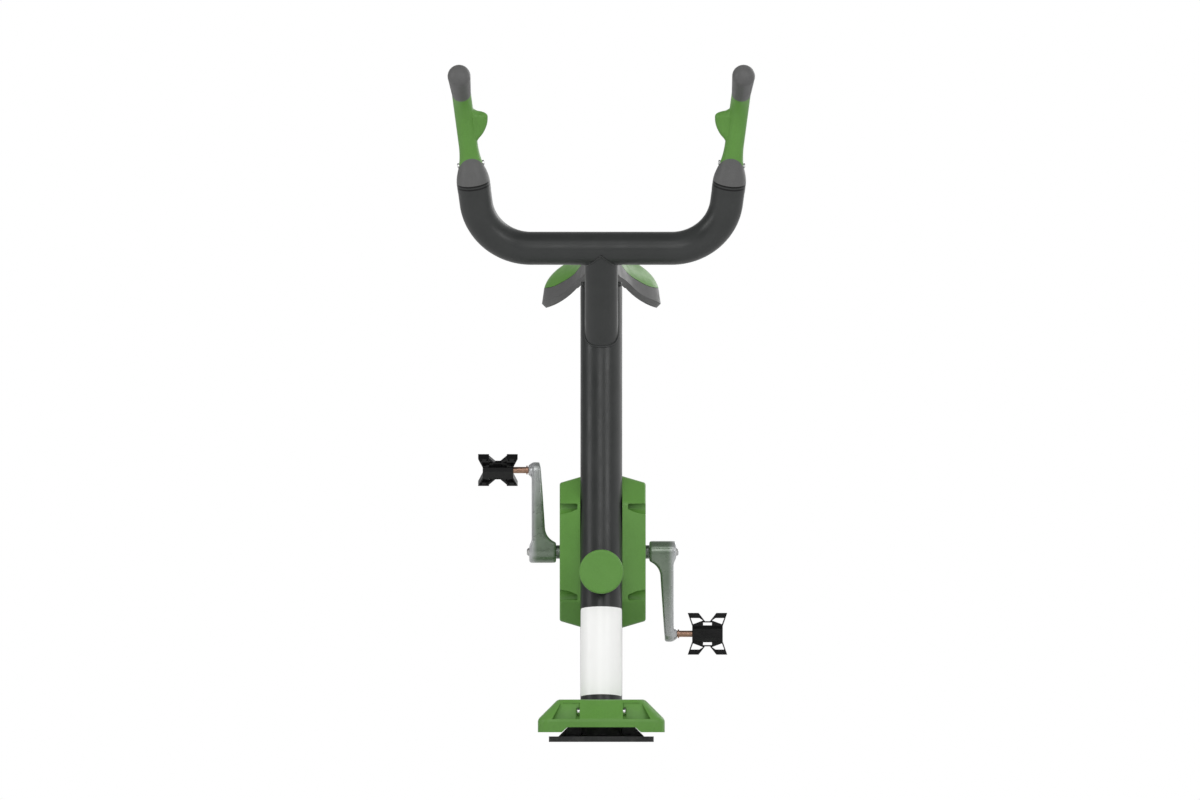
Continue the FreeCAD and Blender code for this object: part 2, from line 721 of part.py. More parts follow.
def saddle_top():
    """Crowned seat, lofted through arched sections that are cut off at the join."""
    wires = []
    for behind, half, low, join, crown in SADDLE_STATIONS:
        foot = join - SADDLE_WALL
        arch = []
        for i in range(CROWN_POINTS):
            turn = math.pi * i / (CROWN_POINTS - 1)
            across = math.copysign(abs(math.cos(turn)) ** (2 / CROWN_POWER), math.cos(turn))
            rise = abs(math.sin(turn)) ** (2 / CROWN_POWER)
            arch.append(V(half * across, behind, join + crown * rise))
        curve = Part.BSplineCurve()
        curve.interpolate(arch)
        skirt = Part.makePolygon([arch[-1], V(-half, behind, foot), V(half, behind, foot), arch[0]])
        wires.append(Part.Wire([curve.toShape(), skirt]))
    seat = Part.makeLoft(wires, True, False)
    return placed(seat.cut([under_join(SADDLE_JOIN_GAP), saddle_arch()]), SADDLE_PLACE)


def saddle_plate():
    half = SADDLE_PLATE_WIDTH / 2
    corners = [V(half, -SADDLE_PLATE_FRONT, 0), V(half, SADDLE_PLATE_REAR, 0)]
    corners += [V(-half, SADDLE_PLATE_REAR, 0), V(-half, -SADDLE_PLATE_FRONT, 0)]
    plate = Part.Face(rounded(corners, SADDLE_PLATE_THICKNESS)).extrude(-Z * SADDLE_PLATE_THICKNESS)
    for place in saddle_bolt_places():
        plate = plate.cut(rod(place, place - Z * SADDLE_PLATE_THICKNESS, SADDLE_BOLT + 2 * BOLT_GAP))
    return placed(plate, SADDLE_PLACE)


def saddle_rib():
    """Web behind the post that props the saddle plate."""
    start = -SADDLE_RIB_THICKNESS / 2
    top = -SADDLE_PLATE_THICKNESS
    rear = SADDLE_PLATE_REAR - SADDLE_PLATE_THICKNESS
    outline = [V(start, 0, top), V(start, rear, top), V(start, rear, 2 * top)]
    outline += [V(start, POST_RADIUS, -SADDLE_RIB_DEPTH), V(start, 0, -SADDLE_RIB_DEPTH)]
    core = rod(V(0, 0, -FAR), V(0, 0, FAR), POST_DIAMETER + 2 * WELD_GAP)
    return placed(prism(outline, X * SADDLE_RIB_THICKNESS).cut(core), SADDLE_PLACE)


def saddle_bolts():
    bolts = []
    for place in saddle_bolt_places():
        seat = place - Z * SADDLE_PLATE_THICKNESS
        shank = rod(seat, place + Z * SADDLE_BOLT_GRIP, SADDLE_BOLT)
        head = hexagon(seat - Z * SADDLE_BOLT_HEAD_HEIGHT, seat, SADDLE_BOLT_HEAD)
        bolts.append(placed(shank.fuse(head).removeSplitter(), SADDLE_PLACE))
    return Part.makeCompound(bolts)


# Drive, in a frame at the middle of the crank axle
def in_drive(shape):
    return placed(shape, Placement(AXLE_CENTRE, Rotation()))


def bearing_shell():
    """Cross tube with a bearing seat at each end and a stop behind each bearing."""
    half = X * (SHELL_LENGTH / 2)
    stop = X * (SHELL_LENGTH / 2 - BEARING_INSET - BEARING_WIDTH)
    shell = ring(-half, half, SHELL_DIAMETER, BEARING_OUTER - 2 * SHELL_STOP)
    for side in (-1, 1):
        shell = shell.cut(rod(stop * side, half * side, BEARING_OUTER + 2 * SLIP_GAP))
    return in_drive(shell).cut(post_core(WELD_GAP))


def axle_bearings():
    """Two sealed ball bearings, each with its shield grooves."""
    pair = []
    outer = SHELL_LENGTH / 2 - BEARING_INSET
    for side in (-1, 1):
        start = X * side * (outer - BEARING_WIDTH)
        end = X * side * outer
        race = ring(start, end, BEARING_OUTER, BEARING_BORE + 2 * SLIP_GAP)
        middle = (BEARING_OUTER + BEARING_BORE) / 2
        shield = ring(end - X * side * SHIELD_DEPTH, end, middle + SHIELD_WIDTH, middle - SHIELD_WIDTH)
        pair.append(in_drive(race.cut(shield)))
    return Part.makeCompound(pair)


def square_taper(start, sign):
    """Tapered square end of the axle, wider at its foot."""
    wires = []
    for distance, size in ((0, TAPER_LARGE), (TAPER_LENGTH, TAPER_SMALL)):
        x = sign * (start + distance)
        half = size / 2
        corners = [V(x, half, half), V(x, -half, half), V(x, -half, -half), V(x, half, -half)]
        wires.append(Part.makePolygon(corners + corners[:1]))
    return Part.makeLoft(wires, True, True)


def crank_axle():
    half = X * CRANK_INNER
    axle = rod(-half, half, BEARING_BORE)
    for side in (-1, 1):
        axle = axle.fuse(square_taper(CRANK_INNER, side))
        end = X * side * (CRANK_INNER + TAPER_LENGTH)
        axle = axle.cut(rod(end, end - X * side * CRANK_BOLT_SHANK, CRANK_BOLT + 2 * SLIP_GAP))
    return in_drive(axle)


def axle_spacer():
    """Sleeve that holds the two bearings apart."""
    half = X * (SHELL_LENGTH / 2 - BEARING_INSET - BEARING_WIDTH - TURN_GAP)
    return in_drive(ring(-half, half, SPACER_DIAMETER, BEARING_BORE + 2 * SLIP_GAP))


def left_axle_collar():
    start = -X * (SHELL_LENGTH / 2 - BEARING_INSET + TURN_GAP)
    return in_drive(ring(start, -X * CRANK_INNER, COLLAR_DIAMETER, BEARING_BORE + 2 * SLIP_GAP))


def right_axle_collar():
    start = X * (SHELL_LENGTH / 2 + TURN_GAP + HUB_WIDTH)
    return in_drive(ring(start, X * CRANK_INNER, COLLAR_DIAMETER, BEARING_BORE + 2 * SLIP_GAP))


def brake_disc():
    """Steel disc on a hub, drilled to save weight, that the brake pads rub on."""
    inner = X * (SHELL_LENGTH / 2 - BEARING_INSET + TURN_GAP)
    start = X * (SHELL_LENGTH / 2 + TURN_GAP)
    hub = rod(start, start + X * HUB_WIDTH, HUB_DIAMETER).fuse(rod(inner, start, SPACER_DIAMETER))
    face = X * DISC_PLACE
    disc = rod(face, face + X * DISC_THICKNESS, DISC_DIAMETER)
    shape = hub.fuse(disc).cut(rod(-X * FAR, X * FAR, BEARING_BORE + 2 * SLIP_GAP))
    middle = (HUB_DIAMETER + DISC_DIAMETER / 2) / 2
    for i in range(DISC_HOLES):
        place = Rotation(X, 360 / DISC_HOLES * i).multVec(Z) * middle
        shape = shape.cut(rod(place, place + X * FAR, DISC_HOLE))
    return in_drive(shape)


def pad_faces():
    """Inner and outer faces of the two brake pads, across the disc."""
    inner = DISC_PLACE - TURN_GAP
    outer = DISC_PLACE + DISC_THICKNESS + TURN_GAP
    return inner, outer


def brake_pads():
    inner, outer = pad_faces()
    low = -DISC_DIAMETER / 2
    size = (PAD_THICKNESS, PAD_LENGTH, PAD_HEIGHT)
    pads = [Part.makeBox(*size, V(inner - PAD_THICKNESS, -PAD_LENGTH / 2, low))]
    pads.append(Part.makeBox(*size, V(outer, -PAD_LENGTH / 2, low)))
    return Part.makeCompound([in_drive(pad) for pad in pads])


def adjuster_height():
    return PAD_HEIGHT / 3 - DISC_DIAMETER / 2


def brake_caliper():
    """Fork round the lower rim of the disc, on an arm from the carrier tube."""
    inner, outer = pad_faces()
    left = inner - PAD_THICKNESS - CALIPER_LEG
    right = outer + PAD_THICKNESS + CALIPER_LEG
    low = -DISC_DIAMETER / 2 - CALIPER_ROOM - CALIPER_BRIDGE
    high = PAD_HEIGHT - DISC_DIAMETER / 2
    y = -PAD_LENGTH / 2
    outline = [V(left, y, low), V(right, y, low), V(right, y, high), V(right - CALIPER_LEG, y, high)]
    floor = low + CALIPER_BRIDGE
    outline += [V(right - CALIPER_LEG, y, floor), V(left + CALIPER_LEG, y, floor)]
    outline += [V(left + CALIPER_LEG, y, high), V(0, y, high), V(0, y, high - CALIPER_BRIDGE)]
    outline += [V(left, y, high - CALIPER_BRIDGE)]
    fork = prism(outline, Y * PAD_LENGTH)
    hole = V(left, 0, adjuster_height())
    fork = fork.cut(rod(hole, hole + X * CALIPER_LEG, ADJUSTER_DIAMETER + 2 * SLIP_GAP))
    return in_drive(fork).cut(carrier_core(WELD_GAP))


def brake_adjuster():
    inner, outer = pad_faces()
    tip = V(inner - PAD_THICKNESS, 0, adjuster_height())
    seat = tip - X * CALIPER_LEG
    head = hexagon(seat - X * ADJUSTER_HEAD_HEIGHT, seat, ADJUSTER_HEAD)
    return in_drive(rod(seat, tip, ADJUSTER_DIAMETER).fuse(head).removeSplitter())


# Housing
def octagon(x, grow, radius):
    """Outline of the housing in a plane across the axle, grown evenly from the outer side face."""
    depth = HOUSING_HALF_DEPTH + grow
    height = HOUSING_HALF_HEIGHT + grow
    leg = HOUSING_CHAMFER + grow * (2 - math.sqrt(2))
    quarter = [(depth, height - leg), (depth - leg, height)]
    points = quarter + [(-y, z) for y, z in reversed(quarter)]
    points += [(-y, -z) for y, z in quarter] + [(y, -z) for y, z in reversed(quarter)]
    return rounded([V(x, y, z) for y, z in points], radius)


def pocket_places():
    return [(sy * HOUSING_HALF_DEPTH, sz) for sy in (-1, 1) for sz in (-1, 1)]


def bolt_axis(sy, sz, x):
    return V(x, sy, sz * POCKET_HEIGHT)


def bolt_bearing():
    """Where the housing bolts' heads bear, sunk just under the floor of the pocket."""
    return POCKET_FLOOR - HOUSING_BOLT_HEAD_HEIGHT - SEAT_GAP


def housing_half(side):
    """One drafted half shell with bolt pockets let into its corners."""
    grow = HOUSING_HALF_WIDTH * math.tan(math.radians(HOUSING_DRAFT))
    wall_grow = HOUSING_WALL / math.cos(math.radians(HOUSING_DRAFT))
    face = side * HOUSING_HALF_WIDTH
    outer = Part.makeLoft([octagon(0, grow, HOUSING_CORNER), octagon(face, 0, HOUSING_CORNER)], True, True)
    rim = [edge for edge in outer.Edges if abs(edge.CenterOfMass.x) > HOUSING_HALF_WIDTH - SLIP_GAP]
    outer = outer.makeFillet(HOUSING_EDGE, rim)
    depth = HOUSING_HALF_WIDTH - HOUSING_WALL
    inner_grow = grow * HOUSING_WALL / HOUSING_HALF_WIDTH - wall_grow
    corner = HOUSING_CORNER - HOUSING_WALL
    hollow = [octagon(0, grow - wall_grow, corner), octagon(side * depth, inner_grow, corner)]
    half = outer.cut(Part.makeLoft(hollow, True, True))
    reach = POCKET_DIAMETER / 2 + HOUSING_WALL
    roof = Part.makeBox(FAR, 2 * FAR, 2 * POCKET_ROOF, V(min(0, side * FAR), -FAR, -POCKET_ROOF))
    for sy, sz in pocket_places():
        boss = rod(bolt_axis(sy, sz, 0), bolt_axis(sy, sz, face), 2 * reach).common(outer)
        half = half.fuse(boss)
    for sy, sz in pocket_places():
        floor = bolt_axis(sy, sz, side * POCKET_FLOOR)
        seat = bolt_axis(sy, sz, side * bolt_bearing())
        pocket = rod(floor, bolt_axis(sy, sz, 2 * face), POCKET_DIAMETER).common(roof)
        sink = rod(seat, floor, HOUSING_BOLT_SINK)
        half = half.cut([pocket, sink, rod(bolt_axis(sy, sz, 0), seat, HOUSING_BOLT + 2 * BOLT_GAP)])
    half = half.cut(rod(ORIGIN, X * face, COLLAR_DIAMETER + 2 * COLLAR_GAP))
    return in_drive(half).cut([post_slot(SEAT_GAP), carrier_core(SEAT_GAP)])


def housing_bolts():
    """Through bolts in the rear pockets, and short screws from the front pockets into the post."""
    pieces = []
    height = HOUSING_BOLT_HEAD_HEIGHT
    for sy, sz in pocket_places():
        left = bolt_axis(sy, sz, -bolt_bearing())
        right = bolt_axis(sy, sz, bolt_bearing())
        left_head = screw_head(left, -X, HOUSING_BOLT_HEAD, height, HOUSING_BOLT_SOCKET)
        if sy > 0:
            nut = hexagon(right, right + X * height, HOUSING_BOLT_HEAD)
            pieces.append(rod(left, right + X * height, HOUSING_BOLT).fuse([left_head, nut]))
        else:
            right_head = screw_head(right, X, HOUSING_BOLT_HEAD, height, HOUSING_BOLT_SOCKET)
            pieces.append(rod(left, left + X * HOUSING_SCREW_LENGTH, HOUSING_BOLT).fuse(left_head))
            pieces.append(rod(right, right - X * HOUSING_SCREW_LENGTH, HOUSING_BOLT).fuse(right_head))
    return Part.makeCompound([in_drive(piece.removeSplitter()) for piece in pieces])


def post_screw_holes():
    """Threaded holes in the post for the housing's front screws."""
    front = [place for place in pocket_places() if place[0] < 0]
    reach = bolt_bearing()
    axes = [(bolt_axis(sy, sz, -reach), bolt_axis(sy, sz, reach)) for sy, sz in front]
    return [in_drive(rod(start, end, HOUSING_BOLT + 2 * BOLT_GAP)) for start, end in axes]


def axle_seals():
    """Rubber rings behind the holes in the housing's sides."""
    seals = []
    for side in (-1, 1):
        outer = X * side * (HOUSING_HALF_WIDTH - HOUSING_WALL)
        inner = outer - X * side * SEAL_WIDTH
        seals.append(in_drive(ring(inner, outer, SEAL_DIAMETER, COLLAR_DIAMETER + 2 * TURN_GAP)))
    return Part.makeCompound(seals)


# Cranks and pedals, made with the arm up on the right side
def on_left(shape):
    return in_drive(mirrored(shape))


def on_right(shape):
    return in_drive(placed(shape, Placement(ORIGIN, Rotation(X, 180))))


def crank_front_outline():
    """Crank seen from the front of the machine: flat outside, flared into its boss inside."""
    top = CRANK_LENGTH + 2 * CRANK_END_RADIUS
    tip = V(CRANK_OUTER - CRANK_END_THICKNESS, 0, top)
    knee = V(CRANK_OUTER - CRANK_MID_THICKNESS, 0, CRANK_FLARE_TOP)
    foot = V(CRANK_INNER, 0, CRANK_FLARE_FOOT)
    back = 1 - CRANK_FLARE_SAG
    sag = V(CRANK_FLARE_SAG * foot.x + back * knee.x, 0, back * foot.z + CRANK_FLARE_SAG * knee.z)
    shoulder = CRANK_BOSS_OUTER - CRANK_OUTER
    straight = [knee, tip, V(CRANK_OUTER, 0, top), V(CRANK_OUTER, 0, CRANK_BOSS_RADIUS)]
    straight += [V(CRANK_BOSS_OUTER, 0, CRANK_BOSS_RADIUS - 2 * shoulder)]
    low = -2 * CRANK_BOSS_RADIUS
    straight += [V(CRANK_BOSS_OUTER, 0, low), V(CRANK_INNER, 0, low), foot]
    return Part.Wire([Part.Arc(foot, sag, knee).toShape(), Part.makePolygon(straight)])


def crank_side_outline():
    """Crank seen along the axle: two circles and the lines that touch both."""
    lean = math.asin((CRANK_BOSS_RADIUS - CRANK_END_RADIUS) / CRANK_LENGTH)
    across = math.cos(lean)
    rise = math.sin(lean)
    end = V(0, 0, CRANK_LENGTH)
    low = V(0, across, rise) * CRANK_BOSS_RADIUS
    high = end + V(0, across, rise) * CRANK_END_RADIUS
    low_far = V(0, -low.y, low.z)
    high_far = V(0, -high.y, high.z)
    return Part.Wire(
        [
            Part.Arc(low, V(0, 0, -CRANK_BOSS_RADIUS), low_far).toShape(),
            Part.LineSegment(low_far, high_far).toShape(),
            Part.Arc(high_far, end + Z * CRANK_END_RADIUS, high).toShape(),
            Part.LineSegment(high, low).toShape(),
        ]
    )


def bolt_seat():
    """Where the crank bolt's head bears, inside the boss."""
    return CRANK_INNER + TAPER_LENGTH + CRANK_BOLT_ROOM


def crank_arm():
    front = Part.Face(crank_front_outline()).extrude(Y * 4 * CRANK_BOSS_RADIUS)
    front.translate(-Y * 2 * CRANK_BOSS_RADIUS)
    side = Part.Face(crank_side_outline()).extrude(X * 2 * CRANK_BOSS_OUTER)
    arm = front.common(side).removeSplitter()
    arm = arm.makeFillet(CRANK_EDGE, crank_edges(arm, CRANK_OUTER - SLIP_GAP, FAR))
    arm = arm.makeFillet(CRANK_EDGE, crank_edges(arm, CRANK_INNER - SLIP_GAP, CRANK_OUTER - 2 * CRANK_EDGE))
    boss = Part.makeCone(
        PEDAL_BOSS_LARGE / 2, PEDAL_BOSS_SMALL / 2, PEDAL_BOSS_LENGTH, V(CRANK_OUTER, 0, CRANK_LENGTH), X
    )
    arm = arm.fuse(boss).cut(square_taper(CRANK_INNER, 1))
    head = X * bolt_seat()
    arm = arm.cut(rod(X * CRANK_INNER, head, CRANK_BOLT + 2 * SLIP_GAP))
    arm = arm.cut(rod(head, X * 2 * CRANK_BOSS_OUTER, CRANK_BOLT_HEAD + 2 * SLIP_GAP))
    pedal = V(0, 0, CRANK_LENGTH)
    return arm.cut(rod(pedal, pedal + X * 2 * CRANK_BOSS_OUTER, PEDAL_AXLE + 2 * SLIP_GAP))


def crank_edges(arm, low, high):
    """The arm's edges between two planes across the axle, without those of the boss's flat inner face."""
    boxes = [(edge, edge.BoundBox) for edge in arm.Edges]
    boxes = [(edge, box) for edge, box in boxes if box.XMax > CRANK_INNER + SLIP_GAP]
    return [edge for edge, box in boxes if box.XMin > low and box.XMax < high]


def crank_bolts():
    head = bolt_seat()
    height = CRANK_BOSS_OUTER + CRANK_BOLT_PROUD - head
    bolt = rod(X * (head + CRANK_BOLT_PROUD - CRANK_BOLT_SHANK), X * head, CRANK_BOLT)
    bolt = bolt.fuse(screw_head(X * head, X, CRANK_BOLT_HEAD, height, CRANK_BOLT_SOCKET)).removeSplitter()
    return Part.makeCompound([on_left(bolt), on_right(bolt)])


def barrel_start():
    return PEDAL_INNER + (PEDAL_WIDTH - BARREL_LENGTH) / 2


def pedal_axle():
    """Spindle screwed into the crank, with a shoulder against the crank's boss."""
    pedal = V(0, 0, CRANK_LENGTH)
    root = CRANK_OUTER + PEDAL_BOSS_LENGTH
    end = barrel_start() + BARREL_LENGTH - PEDAL_CAP_WIDTH - TURN_GAP
    axle = rod(pedal + X * (CRANK_OUTER - CRANK_END_THICKNESS), pedal + X * end, PEDAL_AXLE)
    shoulder = rod(pedal + X * root, pedal + X * (root + PEDAL_SHOULDER_WIDTH), PEDAL_AXLE_SHOULDER)
    return axle.fuse(shoulder).removeSplitter()


def nut_start():
    return barrel_start() + BARREL_LENGTH - PEDAL_CAP_WIDTH - TURN_GAP - PEDAL_NUT_WIDTH


def pedal_nuts():
    pedal = V(0, 0, CRANK_LENGTH)
    start = pedal + X * nut_start()
    nut = hexagon(start, start + X * PEDAL_NUT_WIDTH, PEDAL_NUT)
    nut = nut.cut(rod(start, start + X * PEDAL_NUT_WIDTH, PEDAL_AXLE + 2 * SLIP_GAP))
    return Part.makeCompound([on_left(nut), on_right(nut)])


def pedal_outline():
    """Plan of the pedal: a bar at each corner, a notch between bars, sides drawn in to the barrel."""
    half = PEDAL_WIDTH / 2
    long = PEDAL_LENGTH / 2
    waist = BARREL_LENGTH / 2
    corner = [(waist, BARREL_HEIGHT / 2), (half, long)]
    corner += [(NOTCH_WIDTH / 2, long), (NOTCH_FLOOR / 2, long - NOTCH_DEPTH)]
    points = corner + [(-u, v) for u, v in reversed(corner)]
    points += [(-u, -v) for u, v in corner] + [(u, -v) for u, v in reversed(corner)]
    return points


def web_outline():
    """Middle of the pedal, between its corner bars, where the frame is thinner."""
    half = NOTCH_WIDTH / 2
    return [(half, PEDAL_LENGTH), (-half, PEDAL_LENGTH), (-half, -PEDAL_LENGTH), (half, -PEDAL_LENGTH)]


def pedal_windows():
    """Openings behind the corner bars and the small slots beside the barrel."""
    half = PEDAL_WIDTH / 2
    top = PEDAL_LENGTH / 2 - TREAD_DEPTH
    foot = BARREL_HEIGHT / 2 + WINDOW_FOOT
    side = half - WINDOW_SIDE
    quarter = [(side, top), (NOTCH_WIDTH / 2 - WINDOW_RIB, top)]
    quarter += [(WINDOW_INNER, top - WINDOW_STEP), (side - WINDOW_DRAW, foot)]
    slot = [(SLOT_HALF_WIDTH, foot + SLOT_ABOVE), (-SLOT_HALF_WIDTH, foot + SLOT_ABOVE)]
    slot += [(-SLOT_HALF_WIDTH, foot - SLOT_BELOW), (SLOT_HALF_WIDTH, foot - SLOT_BELOW)]
    shapes = [[(su * u, sv * v) for u, v in quarter] for su in (-1, 1) for sv in (-1, 1)]
    return shapes + [[(u, sv * v) for u, v in slot] for sv in (-1, 1)]


def pedal_plate(points, thickness):
    centre = PEDAL_INNER + PEDAL_WIDTH / 2
    outline = [V(centre + u, -thickness / 2, v) for u, v in points]
    return prism(outline, Y * thickness)


def pedal_body():
    """Moulded pedal, its platform upright, about its own spindle."""
    start = barrel_start()
    web = pedal_plate(pedal_outline(), PEDAL_WEB_THICKNESS)
    bars = pedal_plate(pedal_outline(), PEDAL_FRAME_THICKNESS).cut(pedal_plate(web_outline(), PEDAL_LENGTH))
    body = bars.fuse(web)
    for window in pedal_windows():
        body = body.cut(pedal_plate(window, 2 * PEDAL_FRAME_THICKNESS))
    half = BARREL_THICKNESS / 2
    high = BARREL_HEIGHT / 2
    quarter = [(half, high - BARREL_CHAMFER), (half - BARREL_CHAMFER, high)]
    section = quarter + [(-y, z) for y, z in reversed(quarter)]
    section += [(-y, -z) for y, z in quarter] + [(y, -z) for y, z in reversed(quarter)]
    body = body.fuse(prism([V(start, y, z) for y, z in section], X * BARREL_LENGTH))
    body = body.fuse(pedal_nubs())
    bore = rod(X * start, X * (start + BARREL_LENGTH), BUSH_DIAMETER + 2 * SLIP_GAP)
    pocket = rod(X * (nut_start() - TURN_GAP), X * (start + BARREL_LENGTH), NUT_POCKET)
    return body.cut(bore).cut(pocket).removeSplitter()


def pedal_nubs():
    """Two grip studs on both faces of each corner bar."""
    centre = PEDAL_INNER + PEDAL_WIDTH / 2
    height = (PEDAL_LENGTH - TREAD_DEPTH) / 2
    reach = Y * (PEDAL_FRAME_THICKNESS / 2 + NUB_HEIGHT)
    nubs = []
    for u in (NOTCH_WIDTH / 2 + NUB_DIAMETER, PEDAL_WIDTH / 2 - NUB_INSET):
        for su in (-1, 1):
            for sv in (-1, 1):
                place = V(centre + su * u, 0, sv * height)
                nubs.append(rod(place - reach, place + reach, NUB_DIAMETER))
    return nubs


def pedal_bushes():
    start = barrel_start()
    pair = []
    for place in (start, nut_start() - TURN_GAP - BUSH_LENGTH):
        pair.append(ring(X * place, X * (place + BUSH_LENGTH), BUSH_DIAMETER, PEDAL_AXLE + 2 * SLIP_GAP))
    return Part.makeCompound(pair)


def pedal_cap():
    """Stopper in the outer end of the barrel."""
    end = barrel_start() + BARREL_LENGTH
    return rod(X * (end - PEDAL_CAP_WIDTH), X * end, NUT_POCKET - 2 * SLIP_GAP)


def on_left_pedal(shape):
    tilted = placed(shape, Placement(V(0, 0, CRANK_LENGTH), Rotation(X, LEFT_PEDAL_TILT)))
    return on_left(tilted)


def on_right_pedal(shape):
    return on_right(placed(shape, Placement(V(0, 0, CRANK_LENGTH), Rotation())))


# Base cover
def cover_form(inset):
    """Skirt and sloping shoulders of the base cover, or its inside."""
    half = COVER_SIDE / 2 - inset
    top = COVER_BOTTOM + COVER_SKIRT + COVER_SHOULDER
    shoulder = COVER_BOTTOM + COVER_SKIRT - inset * math.tan(math.pi / 8)
    corner = COVER_CORNER - inset
    foot = COVER_BOTTOM if inset == 0 else -FAR / 10
    skirt = Part.makeLoft([square(half, foot, corner), square(half, shoulder, corner)], True, True)
    rise = top - inset - shoulder
    slope = [square(half, shoulder, corner), square(half - rise, top - inset, corner)]
    return skirt.fuse(Part.makeLoft(slope, True, True))


def cover_recesses(grow):
    """Panels let into the shoulder either side of the centre block, where the bolts are reached."""
    shapes = []
    shoulder = COVER_BOTTOM + COVER_SKIRT
    floor = COVER_RECESS_FLOOR - grow
    top = COVER_RECESS_TOP + grow
    lean = (COVER_RECESS_FOOT - COVER_RECESS_HEAD) / COVER_SHOULDER
    foot = COVER_RECESS_FOOT + grow
    head = foot - lean * (top - floor)
    inner = COVER_BLOCK_WIDTH / 2 - grow
    wall = COVER_SIDE / 2 - COVER_RECESS_DEPTH - grow
    outline = [(inner, floor), (foot, floor), (head, top), (inner, top)]
    for front in (-1, 1):
        for side in (-1, 1):
            points = [V(side * x, front * (wall - (z - shoulder)), z) for x, z in outline]
            shapes.append(prism(points, Y * front * FAR))
    return shapes


def cover_arches():
    """Cut-outs in the lower edge, front and back."""
    foot = COVER_ARCH_FOOT / 2
    head = COVER_ARCH_TOP / 2
    top = COVER_BOTTOM + COVER_ARCH_HEIGHT
    outline = [(-foot, COVER_BOTTOM), (foot, COVER_BOTTOM), (head, top), (-head, top)]
    return prism([V(x, -FAR, z) for x, z in outline], Y * 2 * FAR)


def cover_bolt_ends(front):
    middle = V(0, front * COVER_BOLT_REACH, COVER_BOLT_HEIGHT)
    half = X * (COVER_BLOCK_WIDTH / 2)
    return middle - half, middle + half


def base_cover():
    outer = cover_form(0).removeSplitter()
    level = [edge for edge in outer.Edges if edge.BoundBox.ZLength < SLIP_GAP]
    ridges = [edge for edge in level if edge.BoundBox.ZMin > COVER_BOTTOM + SLIP_GAP]
    outer = outer.makeFillet(COVER_EDGE, ridges).cut(cover_recesses(0))
    inner = cover_form(COVER_WALL).cut(cover_recesses(COVER_WALL))
    cover = outer.cut(inner)
    for front in (-1, 1):
        start, end = cover_bolt_ends(front)
        cover = cover.fuse(rod(start, end, COVER_BOSS).common(outer))
    for front in (-1, 1):
        start, end = cover_bolt_ends(front)
        cover = cover.cut(rod(start, end, COVER_BOLT + 2 * BOLT_GAP))
    return cover.cut(cover_arches()).cut(post_core(SEAT_GAP))


def cover_half(cover, side):
    corner = V(min(0, side * FAR), -FAR, -FAR)
    return cover.common(Part.makeBox(FAR, 2 * FAR, 2 * FAR, corner))


def base_cover_bolts():
    """Binding bolts, which have the same head at either end."""
    pieces = []
    for front in (-1, 1):
        start, end = cover_bolt_ends(front)
        left = screw_head(start, -X, COVER_BOLT_HEAD, COVER_BOLT_HEAD_HEIGHT, COVER_BOLT_SOCKET)
        right = screw_head(end, X, COVER_BOLT_HEAD, COVER_BOLT_HEAD_HEIGHT, COVER_BOLT_SOCKET)
        pieces.append(rod(start, end, COVER_BOLT).fuse([left, right]).removeSplitter())
    return Part.makeCompound(pieces)


def all_pieces():
    cover = base_cover()
    core = grip_core()
    sleeve = grip_sleeve()
    ring_piece = seam_ring()
    crank = crank_arm()
    spindle = pedal_axle()
    pedal = pedal_body()
    bushes = pedal_bushes()
    cap = pedal_cap()
    return {
        "base_plate": base_plate(),
        "base_gussets": base_gussets(),
        "base_cover_left": cover_half(cover, -1),
        "base_cover_right": cover_half(cover, 1),
        "base_cover_bolts": base_cover_bolts(),
        "main_post": main_post(),
        "front_tube": front_tube(),
        "front_cap": front_cap(),
        "rear_tube": rear_tube(),
        "rear_plug": rear_plug(),
        "handlebar_stem": handlebar_stem(),
        "handlebar_tube": handlebar_tube(),
        "left_seam_ring": mirrored(ring_piece),
        "right_seam_ring": ring_piece,
        "left_grip_core": mirrored(core),
        "right_grip_core": core,
        "left_grip_sleeve": mirrored(sleeve),
        "right_grip_sleeve": sleeve,
        "grip_screws": grip_screws(),
        "saddle_plate": saddle_plate(),
        "saddle_rib": saddle_rib(),
        "saddle_base": saddle_base(),
        "saddle_top": saddle_top(),
        "saddle_bolts": saddle_bolts(),
        "bearing_shell": bearing_shell(),
        "axle_bearings": axle_bearings(),
        "axle_seals": axle_seals(),
        "brake_caliper": brake_caliper(),
        "brake_pads": brake_pads(),
        "brake_adjuster": brake_adjuster(),
        "housing_left": housing_half(-1),
        "housing_right": housing_half(1),
        "housing_bolts": housing_bolts(),
        "crank_axle": crank_axle(),
        "axle_spacer": axle_spacer(),
        "left_axle_collar": left_axle_collar(),
        "right_axle_collar": right_axle_collar(),
        "brake_disc": brake_disc(),
        "left_crank_arm": on_left(crank),
        "right_crank_arm": on_right(crank),
        "crank_bolts": crank_bolts(),
        "left_pedal_axle": on_left(spindle),
        "right_pedal_axle": on_right(spindle),
        "pedal_nuts": pedal_nuts(),
        "left_pedal_body": on_left_pedal(pedal),
        "right_pedal_body": on_right_pedal(pedal),
        "left_pedal_bushes": on_left_pedal(bushes),
        "right_pedal_bushes": on_right_pedal(bushes),
        "left_pedal_cap": on_left_pedal(cap),
        "right_pedal_cap": on_right_pedal(cap),
    }


os.makedirs("parts", exist_ok=True)
for name, shape in all_pieces().items():
    shape.exportStep("parts/" + name + ".step")
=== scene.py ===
import json
import math

import bmesh
import bpy
from mathutils import Matrix, Vector


